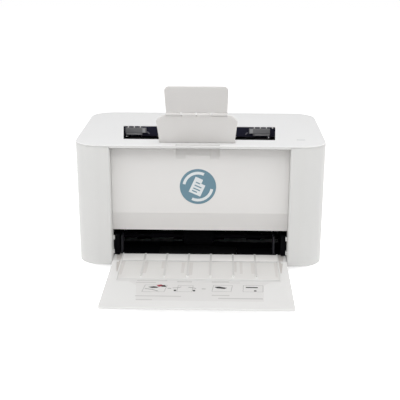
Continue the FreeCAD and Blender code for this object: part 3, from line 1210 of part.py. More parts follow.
def pinch_places():
    return [(x0 + x1) / 2 for x0, x1 in HOLDER_SPANS]


def pinch_rollers():
    rollers = []
    for x in pinch_places():
        wheel = rod_x(PINCH_RADIUS, x - PINCH_WIDTH / 2, x + PINCH_WIDTH / 2, PINCH[0], PINCH[1])
        pin = rod_x(PINCH_PIN, x - PINCH_WIDTH / 2 - 3, x + PINCH_WIDTH / 2 + 3, PINCH[0], PINCH[1])
        rollers.append(join([wheel, pin]))
    return group(rollers)


def pinch_holders():
    holders = []
    for (x0, x1), side in zip(HOLDER_SPANS, (1, -1)):
        middle = (x0 + x1) / 2
        block = box(x0, x1, HOLDER_FRONT, HOLDER_BACK, HOLDER_BOTTOM, HOLDER_TOP)
        hook_start = x1 if side > 0 else x0
        hook = box(hook_start, hook_start + side * HOLDER_HOOK, HOLDER_FRONT, HOLDER_FRONT + 3.0,
                   HOLDER_BOTTOM + 3.4, HOLDER_TOP)
        half = PINCH_WIDTH / 2 + 0.5
        cavity = box(middle - half, middle + half, PINCH[0] - PINCH_RADIUS - 0.5,
                     PINCH[0] + PINCH_RADIUS + 0.5,
                     HOLDER_BOTTOM - 1, PINCH[1] + PINCH_RADIUS + 0.5)
        bore = rod_x(PINCH_PIN + SHAFT_GAP, middle - half - 3, middle + half + 3, PINCH[0], PINCH[1])
        shoulder = box(x0 - 1, x1 + 1, HOLDER_FRONT - 1, HOLDER_FRONT + 1.2, HOLDER_BOTTOM - 1,
                       HOLDER_BOTTOM + 3.4)
        holders.append(less(join([block, hook]), [cavity, bore, shoulder]))
    return group(holders)


def exit_guide():
    half = FRAME_INNER - FRAME_GAP
    y0, z0 = BIN_FLOOR_FRONT
    y1, z1 = BIN_FLOOR_BACK
    floor = prism_x([(y0, z0), (y1, z1), (y1, z1 - BIN_THICKNESS), (y0, z0 - BIN_THICKNESS)], -half, half)
    wall_back = BIN_WALL_Y + BIN_WALL_THICKNESS
    top = TOP_UNDERSIDE
    cheek_points = [(y0, z0 - BIN_THICKNESS), (y1, z1 - BIN_THICKNESS), (wall_back, z1 - BIN_THICKNESS),
                    (wall_back, top), (y0, top)]
    cheeks = [prism_x(cheek_points, side * half, side * (half - 2.5)) for side in (-1, 1)]
    low = HOLDER_BOTTOM - 1.7
    wall = box(-half, half, BIN_WALL_Y, wall_back, low, top)
    upper = box(WINDOW_BACK[0] + 0.6, WINDOW_BACK[1] - 0.6, BIN_WALL_Y, wall_back, top - 0.5, BODY_TOP - 0.7)
    ribs = []
    count = 15
    reach = half - 21.6
    for index in range(count):
        x = -reach + index * 2 * reach / (count - 1)
        ribs.append(prism_x([(y0 + 4, z0 - 1.2), (y1 - 1, z1 - 0.6), (y1 - 1, z1 + 1.0), (y0 + 4, z0 + 0.5)],
                            x - 0.7, x + 0.7))
    guide = join([floor, wall, upper] + cheeks + ribs)
    cuts = []
    for (x0, x1), side in zip(HOLDER_SPANS, (1, -1)):
        cuts.append(box(x0 - MOVING_GAP, x1 + MOVING_GAP, BIN_WALL_Y - 1, wall_back + 1,
                        HOLDER_BOTTOM - MOVING_GAP, HOLDER_TOP + MOVING_GAP))
    return less(guide, cuts)


# ================================================================ frames, drive, scanner
def frame_bores(x0, x1, side):
    places = [(PICKUP, SHAFT_RADIUS), (FEED, SHAFT_RADIUS), (FEED_PINCH, SHAFT_RADIUS),
              (TRANSFER, SHAFT_RADIUS),
              (DRUM, SHAFT_RADIUS), (EXIT, SHAFT_RADIUS), ((DOOR_HINGE_Y, DOOR_HINGE_Z), DOOR_PIN)]
    if side < 0:
        places.append((FUSER, JOURNAL + 0.5))
        places.append(((REAR_HINGE_Y, REAR_HINGE_Z), REAR_PIN))
    return [rod_x(radius + SHAFT_GAP, x0 - 1, x1 + 1, centre[0], centre[1]) for centre, radius in places]


def side_frame(side):
    x0 = side * FRAME_INNER
    x1 = side * FRAME_OUTER
    back = FRAME_BACK if side < 0 else FRAME_BACK_RIGHT
    plate = box(x0, x1, FRAME_FRONT, back, BASE_TOP, FRAME_TOP)
    ledges = [box(x0 + side * 0.5, x0 - side * LEDGE_REACH, y - 6, y + 6, DECK_Z - 10, DECK_Z)
              for y in LEDGE_YS]
    pieces = [plate] + ledges
    if side < 0:
        reach = GEAR_PLATE_X + GEAR_PLATE_THICKNESS
        pieces += [rod_x(3.0, -FRAME_OUTER + 1, reach, y, z) for y, z in GEAR_POSTS]
        pieces += [rod_x(STUD_RADIUS, -FRAME_OUTER + 1, reach, y, z)
                   for y, z in (DRIVE, FUSER_IDLER, FEED_IDLER, PICKUP_IDLER, EXIT_IDLER)]
    else:
        pieces += [rod_x(3.0, FRAME_OUTER - 1, MAIN_BOARD_X, y, z) for y, z in main_board_posts()]
    frame = join(pieces)
    cuts = frame_bores(min(x0, x1), max(x0, x1), side)
    for y in LEDGE_YS:
        x = x0 - side * LEDGE_REACH / 2
        cuts.append(rod_z(SCREW_RADIUS + SHAFT_GAP, x, y, DECK_Z - 9.5, DECK_Z + 1))
    return less(frame, cuts)


def gear_plate():
    x0 = GEAR_PLATE_X
    x1 = GEAR_PLATE_X + GEAR_PLATE_THICKNESS
    y0, y1, z0, z1 = GEAR_PLATE_SPAN
    plate = box(x0, x1, y0, y1, z0, z1)
    return less(plate, [rod_x(MOTOR_SHAFT + 1.5, x0 - 1, x1 + 1, MOTOR_Y, MOTOR_Z)])


def drive_motor():
    right = GEAR_PLATE_X
    left = right - MOTOR_LENGTH
    can = rod_x(MOTOR_RADIUS, left, right, MOTOR_Y, MOTOR_Z)
    plug = box(left + 6, left + 14, MOTOR_Y - 6, MOTOR_Y + 6, MOTOR_Z - MOTOR_RADIUS - 3, MOTOR_Z)
    bore = rod_x(MOTOR_SHAFT + SHAFT_GAP, right - 8, right + 1, MOTOR_Y, MOTOR_Z)
    return less(join([can, plug]), [bore])


def motor_pinion():
    gear = gear_x(MOTOR_TEETH, MOTOR_PHASE, MOTOR, GEAR_LEFT, GEAR_RIGHT, MOTOR_SHAFT - 0.5)
    shaft = rod_x(MOTOR_SHAFT, GEAR_PLATE_X - 7.5, GEAR_RIGHT, MOTOR_Y, MOTOR_Z)
    return join([gear, shaft])


def idler(teeth, phase, centre):
    gear = gear_x(teeth, phase, centre, GEAR_LEFT, GEAR_RIGHT, STUD_RADIUS + SHAFT_GAP)
    hub = rod_x(STUD_RADIUS + 1.6, GEAR_RIGHT - 0.5, GEAR_RIGHT + GEAR_OFFSET - MOVING_GAP, centre[0],
                centre[1])
    hub = hub.cut(rod_x(STUD_RADIUS + SHAFT_GAP, GEAR_LEFT, GEAR_RIGHT + 5, centre[0], centre[1]))
    return join([gear, hub])


def scanner_deck():
    half = FRAME_INNER - FRAME_GAP
    plate = box(-half, half, DECK_FRONT, DECK_BACK, DECK_Z, DECK_Z + DECK_THICKNESS)
    cuts = [box(PATH_X - BEAM_SLOT_HALF, PATH_X + BEAM_SLOT_HALF, DRUM_Y + 6, DRUM_Y + 12, DECK_Z - 1,
                DECK_Z + 3)]
    for side in (-1, 1):
        for y in LEDGE_YS:
            cuts.append(rod_z(SCREW_RADIUS + 0.3, side * (FRAME_INNER - LEDGE_REACH / 2), y, DECK_Z - 1,
                              DECK_Z + 3))
    return less(plate, cuts)


def scanner_box(margin, z0, z1):
    return box(PATH_X - SCANNER_HALF + margin, PATH_X + SCANNER_HALF - margin, SCANNER_FRONT + margin,
               SCANNER_BACK - margin, z0, z1)


def scanner_housing():
    tub = scanner_box(0, SCANNER_Z, SCANNER_TOP).cut(scanner_box(SCANNER_WALL, SCANNER_Z + 2.5,
                                                                 SCANNER_TOP + 1))
    motor = rod_z(9.0, PATH_X, MIRROR_Y, SCANNER_Z + 2, MIRROR_Z - MOVING_GAP)
    pivot = rod_z(1.5, PATH_X, MIRROR_Y, SCANNER_Z + 2, MIRROR_Z + 5.0)
    lens_seats = [box(PATH_X - 60, PATH_X + 60, y, y + 3.0, SCANNER_Z + 2, SCANNER_Z + 13)
                  for y in (MIRROR_Y + 26, MIRROR_Y + 36)]
    window = box(PATH_X - BEAM_SLOT_HALF, PATH_X + BEAM_SLOT_HALF, DRUM_Y + 6, DRUM_Y + 12, SCANNER_Z - 1,
                 SCANNER_Z + 3)
    return less(join([tub, motor, pivot] + lens_seats), [window])


def scanner_lid():
    lid = scanner_box(0, SCANNER_TOP, SCANNER_TOP + 1.6)
    rim = scanner_box(SCANNER_WALL + 0.3, SCANNER_TOP - 2.5, SCANNER_TOP + 0.5)
    inner = scanner_box(SCANNER_WALL + 2.0, SCANNER_TOP - 3, SCANNER_TOP)
    return join([lid, rim.cut(inner)])


def polygon_mirror():
    corners = [(PATH_X + MIRROR_RADIUS * math.cos(math.pi * k / 3),
                MIRROR_Y + MIRROR_RADIUS * math.sin(math.pi * k / 3))
               for k in range(6)]
    body = prism_z(corners, MIRROR_Z, MIRROR_Z + 3.0)
    hub = rod_z(5.0, PATH_X, MIRROR_Y, MIRROR_Z, MIRROR_Z + 5.0)
    return join([body, hub]).cut(rod_z(1.5 + SHAFT_GAP, PATH_X, MIRROR_Y, 0, MIRROR_Z + 9))


# ================================================================ boards, switch, inlet, button
def main_board_posts():
    y0, _, z0, z1 = MAIN_BOARD
    return [(y, z) for y in (y0 + 6, FRAME_BACK_RIGHT - 8) for z in (z0 + 6, z1 - 6)]


def main_board():
    y0, y1, z0, z1 = MAIN_BOARD
    face = MAIN_BOARD_X + BOARD_THICKNESS
    board = box(MAIN_BOARD_X, face, y0, y1, z0, z1)
    parts = [box(face - 0.3, face + 1.4, y0 + 42, y0 + 66, z0 + 26, z0 + 50),
             box(face - 0.3, face + 1.1, y0 + 78, y0 + 96, z0 + 34, z0 + 44),
             box(face - 0.3, face + 1.1, y0 + 78, y0 + 96, z0 + 18, z0 + 28),
             box(face - 0.3, face + 6.0, y0 + 14, y0 + 38, z1 - 12, z1 - 6),
             box(face - 0.3, face + 6.0, y0 + 14, y0 + 30, z0 + 4, z0 + 10),
             box(face - 0.3, face + 8.0, y0 + 106, y0 + 114, z0 + 4, z0 + 32)]
    parts += [rod_x(3.2, face - 0.3, face + 9.0, y0 + step, z1 - 16) for step in (88, 100, 112)]
    return join([board] + parts)


def usb_port():
    x1 = USB_RIGHT
    x0 = x1 - USB_WIDTH
    y1 = BODY_DEPTH - 0.3
    y0 = y1 - USB_DEPTH
    shell = box(x0, x1, y0, y1, USB_Z - USB_HEIGHT / 2, USB_Z + USB_HEIGHT / 2)
    cavity = box(x0 + 1.6, x1 - 1.6, y0 + 4, y1 + 1, USB_Z - USB_HEIGHT / 2 + 1.4,
                 USB_Z + USB_HEIGHT / 2 - 1.4)
    tongue = box(x0 + 3.4, x1 - 3.4, y0 + 3, y1 - 5.5, USB_Z - 1.6, USB_Z + 1.6)
    return join([less(shell, [cavity]), tongue])


def power_board():
    x0, x1, y0, y1 = POWER_BOARD
    top = POWER_BOARD_Z + BOARD_THICKNESS
    board = box(x0, x1, y0, y1, POWER_BOARD_Z, top)
    parts = [box(x0 + 4, x1 - 4, y0 + 50, y0 + 74, top - 0.3, top + 22),
             box(x0 + 3, x0 + 6, y0 + 6, y0 + 42, top - 0.3, top + 24),
             box(x1 - 9, x1 - 4, y0 + 14, y0 + 34, top - 0.3, top + 10),
             rod_z(8.0, (x0 + x1) / 2, y0 + 88, top - 0.3, top + 26),
             rod_z(6.0, (x0 + x1) / 2 + 4, y0 + 28, top - 0.3, top + 18),
             box(x1 - 10, x1 - 4, y0 + 102, y0 + 122, top - 0.3, top + 9)]
    return join([board] + parts)


def power_inlet():
    x0 = INLET_X - INLET_WIDTH / 2
    x1 = INLET_X + INLET_WIDTH / 2
    y1 = BODY_DEPTH - 0.3
    y0 = y1 - INLET_DEPTH
    z0 = INLET_Z - INLET_HEIGHT / 2
    z1 = INLET_Z + INLET_HEIGHT / 2
    body = box(x0, x1, y0, y1, z0, z1)
    flange = box(x0, x1, INNER_BACK - 1.2, INNER_BACK, z0, z1 + SOCKET_FLANGE)
    cavity = box(x0 + 1.5, x1 - 1.5, y0 + 5, y1 + 1, z0 + 1.8, z1 - 1.8)
    pins = [box(INLET_X + dx - 1, INLET_X + dx + 1, y0 + 4, y1 - 5.5, INLET_Z + dz - 2, INLET_Z + dz + 2)
            for dx, dz in ((-7, -1.5), (0, 3), (7, -1.5))]
    return join([less(join([body, flange]), [cavity])] + pins)


def power_switch():
    x0 = INLET_X - SWITCH_WIDTH / 2
    x1 = INLET_X + SWITCH_WIDTH / 2
    z0 = SWITCH_Z - SWITCH_HEIGHT / 2
    z1 = SWITCH_Z + SWITCH_HEIGHT / 2
    y1 = BODY_DEPTH - 0.6
    body = box(x0, x1, y1 - SWITCH_DEPTH, y1, z0, z1)
    flange = box(x0 - SOCKET_FLANGE, x1 + SOCKET_FLANGE, INNER_BACK - 1.2, INNER_BACK, z0 - SOCKET_FLANGE,
                 z1 + SOCKET_FLANGE)
    cavity = box(x0 + 1.4, x1 - 1.4, ROCKER_AXIS_Y - 6, y1 + 1, z0 + 1.2, z1 - 1.2)
    bore = rod_x(ROCKER_PIN + SHAFT_GAP, x0 + 0.2, x1 - 0.2, ROCKER_AXIS_Y, SWITCH_Z)
    return less(join([body, flange]), [cavity, bore])


def power_rocker():
    x0 = INLET_X - SWITCH_WIDTH / 2 + 1.4 + MOVING_GAP
    x1 = INLET_X + SWITCH_WIDTH / 2 - 1.4 - MOVING_GAP
    half = SWITCH_HEIGHT / 2 - 1.2 - 0.6
    crown = 3.4
    points = [(ROCKER_AXIS_Y - 2.0, SWITCH_Z - half + 2),
              (ROCKER_AXIS_Y + crown - 0.2, SWITCH_Z - half + 0.6),
              (ROCKER_AXIS_Y + crown - 1.4, SWITCH_Z), (ROCKER_AXIS_Y + crown - 0.2, SWITCH_Z + half - 0.6),
              (ROCKER_AXIS_Y - 2.0, SWITCH_Z + half - 2)]
    body = prism_x(points, x0, x1)
    pins = rod_x(ROCKER_PIN, x0 - 1.2, x1 + 1.2, ROCKER_AXIS_Y, SWITCH_Z)
    rocker = join([body, pins])
    rocker.rotate(Vector(0, ROCKER_AXIS_Y, SWITCH_Z), Vector(1, 0, 0), ROCKER_REST)
    return rocker


def control_board():
    x0, x1, y0, y1 = CONTROL_BOARD
    top = CONTROL_BOARD_Z + BOARD_THICKNESS
    board = box(x0, x1, y0, y1, CONTROL_BOARD_Z, top)
    key = box(BUTTON_X - 3, BUTTON_X + 3, BUTTON_Y - 3, BUTTON_Y + 3, top - 0.3, top + 3.0)
    plunger = rod_z(1.6, BUTTON_X, BUTTON_Y, top + 2.5, top + PLUNGER_HEIGHT)
    socket = box(x0 + 2, x0 + 8, y0 + 14, y0 + 28, CONTROL_BOARD_Z - 5, CONTROL_BOARD_Z + 0.3)
    return join([board, key, plunger, socket])


def power_button():
    flange_top = TOP_UNDERSIDE - MOVING_GAP
    cap = rounded_slot(BUTTON_LENGTH, BUTTON_WIDTH, flange_top - 0.5, BODY_TOP + 0.1)
    flange = rounded_slot(BUTTON_LENGTH + 3, BUTTON_WIDTH + 3, flange_top - BUTTON_FLANGE, flange_top)
    stem_bottom = CONTROL_BOARD_Z + BOARD_THICKNESS + PLUNGER_HEIGHT + BUTTON_TRAVEL + 0.3
    stem = rod_z(1.5, BUTTON_X, BUTTON_Y, stem_bottom, flange_top - 0.5)
    return join([cap, flange, stem])


# ================================================================ screws
def cover_screws():
    screws = []
    for x, y in cover_screw_places():
        head = rod_z(SCREW_HEAD, x, y, FOOT_HEIGHT + 0.1, FOOT_HEIGHT + SCREW_HEAD_HEIGHT)
        shank = rod_z(SCREW_RADIUS, x, y, FOOT_HEIGHT + 0.5, FOOT_HEIGHT + SCREW_LENGTH)
        screws.append(join([head, shank]))
    return group(screws)


def deck_screws():
    screws = []
    top = DECK_Z + DECK_THICKNESS
    for side in (-1, 1):
        for y in LEDGE_YS:
            x = side * (FRAME_INNER - LEDGE_REACH / 2)
            head = rod_z(SCREW_HEAD, x, y, top, top + SCREW_HEAD_HEIGHT)
            shank = rod_z(SCREW_RADIUS, x, y, DECK_Z - 8.5, top + 0.5)
            screws.append(join([head, shank]))
    return group(screws)


# ================================================================ build
PIECES = {
    "base_pan": base_pan,
    "rubber_feet": rubber_feet,
    "left_side_cover": lambda: side_cover(-1),
    "right_side_cover": lambda: side_cover(1),
    "top_cover": top_cover,
    "front_door": front_door,
    "badge": badge,
    "rear_door": rear_door,
    "paper_tray": paper_tray,
    "output_flap": output_flap,
    "output_extension": output_extension,
    "fold_pin": fold_pin,
    "feed_base": feed_base,
    "left_paper_guide": lambda: paper_guide(-1),
    "right_paper_guide": lambda: paper_guide(1),
    "guide_pinion": guide_pinion,
    "lift_plate": lift_plate,
    "lift_springs": lift_springs,
    "pickup_shaft": pickup_shaft,
    "pickup_tyre": pickup_tyre,
    "separation_pad": separation_pad,
    "feed_roller": feed_roller,
    "feed_pinch": feed_pinch,
    "transfer_roller": transfer_roller,
    "cartridge_housing": cartridge_housing,
    "photo_drum": photo_drum,
    "drum_gear": drum_gear,
    "developer_roller": developer_roller,
    "fuser_frame": fuser_frame,
    "heat_roller": heat_roller,
    "fuser_gear": fuser_gear,
    "pressure_roller": pressure_roller,
    "exit_roller": exit_roller,
    "pinch_rollers": pinch_rollers,
    "pinch_holders": pinch_holders,
    "exit_guide": exit_guide,
    "left_frame": lambda: side_frame(-1),
    "right_frame": lambda: side_frame(1),
    "gear_plate": gear_plate,
    "drive_motor": drive_motor,
    "motor_pinion": motor_pinion,
    "drive_gear": lambda: idler(DRIVE_TEETH, DRIVE_PHASE, DRIVE),
    "fuser_idler": lambda: idler(FUSER_IDLER_TEETH, FUSER_IDLER_PHASE, FUSER_IDLER),
    "feed_idler": lambda: idler(FEED_IDLER_TEETH, FEED_IDLER_PHASE, FEED_IDLER),
    "pickup_idler": lambda: idler(PICKUP_IDLER_TEETH, PICKUP_IDLER_PHASE, PICKUP_IDLER),
    "exit_idler": lambda: idler(EXIT_IDLER_TEETH, EXIT_IDLER_PHASE, EXIT_IDLER),
    "scanner_deck": scanner_deck,
    "scanner_housing": scanner_housing,
    "scanner_lid": scanner_lid,
    "polygon_mirror": polygon_mirror,
    "main_board": main_board,
    "usb_port": usb_port,
    "power_board": power_board,
    "power_inlet": power_inlet,
    "power_switch": power_switch,
    "power_rocker": power_rocker,
    "control_board": control_board,
    "power_button": power_button,
    "cover_screws": cover_screws,
    "deck_screws": deck_screws,
}


def main():
    os.makedirs("parts", exist_ok=True)
    for name, make in PIECES.items():
        write(name, make())


main()
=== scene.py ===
"""Compact laser printer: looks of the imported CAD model, plus the small pieces that CAD leaves plain.

Shapes are given in millimetres with y = 0 at the body's front plane, and place() turns them into metres in
the row's frame. Lamps and material sizes are in metres.
"""
import json
import math

import bmesh
import bpy
from mathutils import Matrix, Vector


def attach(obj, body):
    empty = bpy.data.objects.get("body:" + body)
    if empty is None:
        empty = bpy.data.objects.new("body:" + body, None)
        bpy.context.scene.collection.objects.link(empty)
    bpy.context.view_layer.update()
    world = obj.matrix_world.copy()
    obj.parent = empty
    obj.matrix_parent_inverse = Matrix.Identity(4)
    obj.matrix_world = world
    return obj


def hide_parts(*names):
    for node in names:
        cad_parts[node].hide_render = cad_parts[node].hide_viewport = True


MM = 0.001
ORIGIN_Y = 31.7          # mm from the front plane of the body to the row's origin

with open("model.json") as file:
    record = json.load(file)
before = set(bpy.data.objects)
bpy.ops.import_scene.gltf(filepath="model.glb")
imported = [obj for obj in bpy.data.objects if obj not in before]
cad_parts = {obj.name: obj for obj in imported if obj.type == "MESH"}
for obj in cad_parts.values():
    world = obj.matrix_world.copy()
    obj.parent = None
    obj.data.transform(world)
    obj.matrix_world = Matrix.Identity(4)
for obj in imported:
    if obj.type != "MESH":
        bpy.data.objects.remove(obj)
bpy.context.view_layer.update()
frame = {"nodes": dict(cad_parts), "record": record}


def place(x, y, z):
    """Millimetres, with y = 0 at the body's front plane, to metres in the row's frame."""
    return Vector((x * MM, (y - ORIGIN_Y) * MM, z * MM))


def rectangle(x0, x1, y0, y1):
    return [(x0, y0), (x1, y0), (x1, y1), (x0, y1)]


# ------------------------------------------------------------------------------- camera
CAMERA_PLACE = (27.39, -1145.93, 453.42)
CAMERA_YAW = -0.0236
CAMERA_PITCH = 0.2975
CAMERA_ROLL = -0.0029
CAMERA_FOCAL_PIXELS = 896.63
CAMERA_CLIP = (0.05, 30.0)
IMAGE_WIDTH = 400
SENSOR_WIDTH = 36.0


def camera_turn():
    """Looks along yaw and pitch, then rolls about the line of sight."""
    forward = Vector((math.sin(CAMERA_YAW) * math.cos(CAMERA_PITCH),
                      math.cos(CAMERA_YAW) * math.cos(CAMERA_PITCH),
                      -math.sin(CAMERA_PITCH)))
    right = Vector((math.cos(CAMERA_YAW), -math.sin(CAMERA_YAW), 0.0))
    down = forward.cross(right)
    rolled_right = math.cos(CAMERA_ROLL) * right + math.sin(CAMERA_ROLL) * down
    rolled_down = math.cos(CAMERA_ROLL) * down - math.sin(CAMERA_ROLL) * right
    return Matrix((rolled_right, -rolled_down, -forward)).transposed()


def add_camera():
    data = bpy.data.cameras.new("camera")
    data.sensor_width = SENSOR_WIDTH
    data.lens = CAMERA_FOCAL_PIXELS * SENSOR_WIDTH / IMAGE_WIDTH
    data.clip_start, data.clip_end = CAMERA_CLIP
    camera = bpy.data.objects.new("camera", data)
    bpy.context.scene.collection.objects.link(camera)
    camera.matrix_world = Matrix.Translation(place(*CAMERA_PLACE)) @ camera_turn().to_4x4()
    bpy.context.scene.camera = camera


# ------------------------------------------------------------------------------- light
# Powers are in watts, places and sizes in metres. Of a pair of lamps, the place is the right one's.
WORLD_STRENGTH = 0.295
KEY_POWER = 21.4
LEFT_POWER = 7.0
RIGHT_POWER = 6.8
FRONT_LEFT_POWER = 3.3
FRONT_RIGHT_POWER = 1.1
BACK_POWER = 5.5
KEY_PLACE = (0.1, -0.9, 1.7)
SIDE_PLACE = (1.5, -0.5, 0.7)
FRONT_PLACE = (1.3, -1.4, 0.7)
BACK_PLACE = (1.7, 1.3, 0.35)
BODY_MIDDLE = (0, 0, 0.1)
BODY_BACK = (0, 0.1, 0.1)
KEY_SIZE = (1.8, 1.4)
FILL_SIZE = (1.0, 1.0)
BACK_SIZE = (0.8, 0.6)

WHITE = (1.0, 1.0, 1.0, 1.0)
FLOOR_HALF = 4.0
FLOOR_GREY = (0.93, 0.95)
FLOOR_NOISE = 40.0
FLOOR_ROUGHNESS = 0.9
FLOOR_GLOSS = 0.1
FLOOR_LIFT = 0.75


def seen_rays(nodes, links):
    """1 for the rays that show the backdrop: camera, glossy and transmission rays."""
    path = nodes.new("ShaderNodeLightPath")
    total = path.outputs["Is Camera Ray"]
    for kind in ("Is Glossy Ray", "Is Transmission Ray"):
        add = nodes.new("ShaderNodeMath")
        add.operation = "ADD"
        add.use_clamp = True
        links.new(total, add.inputs[0])
        links.new(path.outputs[kind], add.inputs[1])
        total = add.outputs[0]
    return total


def white_background(nodes, strength):
    background = nodes.new("ShaderNodeBackground")
    background.inputs["Color"].default_value = WHITE
    background.inputs["Strength"].default_value = strength
    return background


def add_world():
    """Seen directly or in a reflection the world is plain white, but it lights the part only faintly."""
    world = bpy.data.worlds.new("studio")
    bpy.context.scene.world = world
    world.use_nodes = True
    nodes = world.node_tree.nodes
    links = world.node_tree.links
    nodes.clear()
    output = nodes.new("ShaderNodeOutputWorld")
    light = white_background(nodes, WORLD_STRENGTH)
    backdrop = white_background(nodes, 1.0)
    mix = nodes.new("ShaderNodeMixShader")
    links.new(seen_rays(nodes, links), mix.inputs["Fac"])
    links.new(light.outputs[0], mix.inputs[1])
    links.new(backdrop.outputs[0], mix.inputs[2])
    links.new(mix.outputs[0], output.inputs["Surface"])


def area_light(name, at, target, size, power):
    data = bpy.data.lights.new(name, "AREA")
    data.shape = "RECTANGLE"
    data.size, data.size_y = size
    data.energy = power
    lamp = bpy.data.objects.new(name, data)
    bpy.context.scene.collection.objects.link(lamp)
    lamp.location = Vector(at)
    lamp.rotation_euler = (Vector(target) - Vector(at)).to_track_quat("-Z", "Y").to_euler()


def light_pair(name, at, target, size, left_power, right_power):
    """A lamp on the right and its mirror image on the left; the gap in the name takes the side."""
    for side, sign, power in (("left", -1, left_power), ("right", 1, right_power)):
        area_light(name.format(side), (sign * at[0], at[1], at[2]), target, size, power)


def add_lights():
    area_light("key", KEY_PLACE, BODY_MIDDLE, KEY_SIZE, KEY_POWER)
    light_pair("{}_fill", SIDE_PLACE, BODY_MIDDLE, FILL_SIZE, LEFT_POWER, RIGHT_POWER)
    light_pair("front_{}_fill", FRONT_PLACE, BODY_MIDDLE, FILL_SIZE, FRONT_LEFT_POWER, FRONT_RIGHT_POWER)
    light_pair("back_{}_fill", BACK_PLACE, BODY_BACK, BACK_SIZE, BACK_POWER, BACK_POWER)


def floor_material():
    """White, and lifted by a glow for the rays that see it, so that it meets the backdrop without a line."""
    material = bpy.data.materials.new("floor_white")
    material.use_nodes = True
    nodes = material.node_tree.nodes
    links = material.node_tree.links
    shader = nodes["Principled BSDF"]
    shader.inputs["Roughness"].default_value = FLOOR_ROUGHNESS
    shader.inputs["Specular IOR Level"].default_value = FLOOR_GLOSS
    noise = nodes.new("ShaderNodeTexNoise")
    noise.inputs["Scale"].default_value = FLOOR_NOISE
    ramp = nodes.new("ShaderNodeMapRange")
    ramp.inputs["To Min"].default_value, ramp.inputs["To Max"].default_value = FLOOR_GREY
    links.new(noise.outputs["Fac"], ramp.inputs["Value"])
    links.new(ramp.outputs["Result"], shader.inputs["Base Color"])
    glow = nodes.new("ShaderNodeEmission")
    glow.inputs["Color"].default_value = WHITE
    glow.inputs["Strength"].default_value = FLOOR_LIFT
    both = nodes.new("ShaderNodeAddShader")
    pick = nodes.new("ShaderNodeMixShader")
    links.new(shader.outputs[0], both.inputs[0])
    links.new(glow.outputs[0], both.inputs[1])
    links.new(seen_rays(nodes, links), pick.inputs["Fac"])
    links.new(shader.outputs[0], pick.inputs[1])
    links.new(both.outputs[0], pick.inputs[2])
    links.new(pick.outputs[0], nodes["Material Output"].inputs["Surface"])
    return material


def add_floor():
    mesh = bpy.data.meshes.new("floor")
    corners = [(x, y, 0) for x, y in rectangle(-FLOOR_HALF, FLOOR_HALF, -FLOOR_HALF, FLOOR_HALF)]
    mesh.from_pydata(corners, [], [(0, 1, 2, 3)])
    floor = bpy.data.objects.new("floor", mesh)
    bpy.context.scene.collection.objects.link(floor)
    mesh.materials.append(floor_material())


# ------------------------------------------------------------------------------- material helpers
PLASTIC_IOR = 1.49
# The rim of an edge is painted lighter: partly scuffs, partly a painted highlight.
EDGE_RADIUS = 0.0006     # m, width of the scuffed rim of an edge
EDGE_DOT = 0.86          # rounded against true normal at a sharp edge
FACE_DOT = 0.995         # the same on an open face
CLOUD_SCALE = 9.0
SCUFF_SCALE = 160.0
SOFT_GRAIN = 0.22        # scale of the soft grain as a share of the fine grain's
# How much lighter the rims of edges are painted: scuffs and a painted highlight.
WORN_AND_SHEEN_LIGHTER = 1.25
DUST_LIGHTER = 1.7
STEP_BLUR = 0.0001       # m, half the height over which one tone gives way to the other
RUBBER_GRAIN = 2600.0
METAL_CLOUDS = 25.0


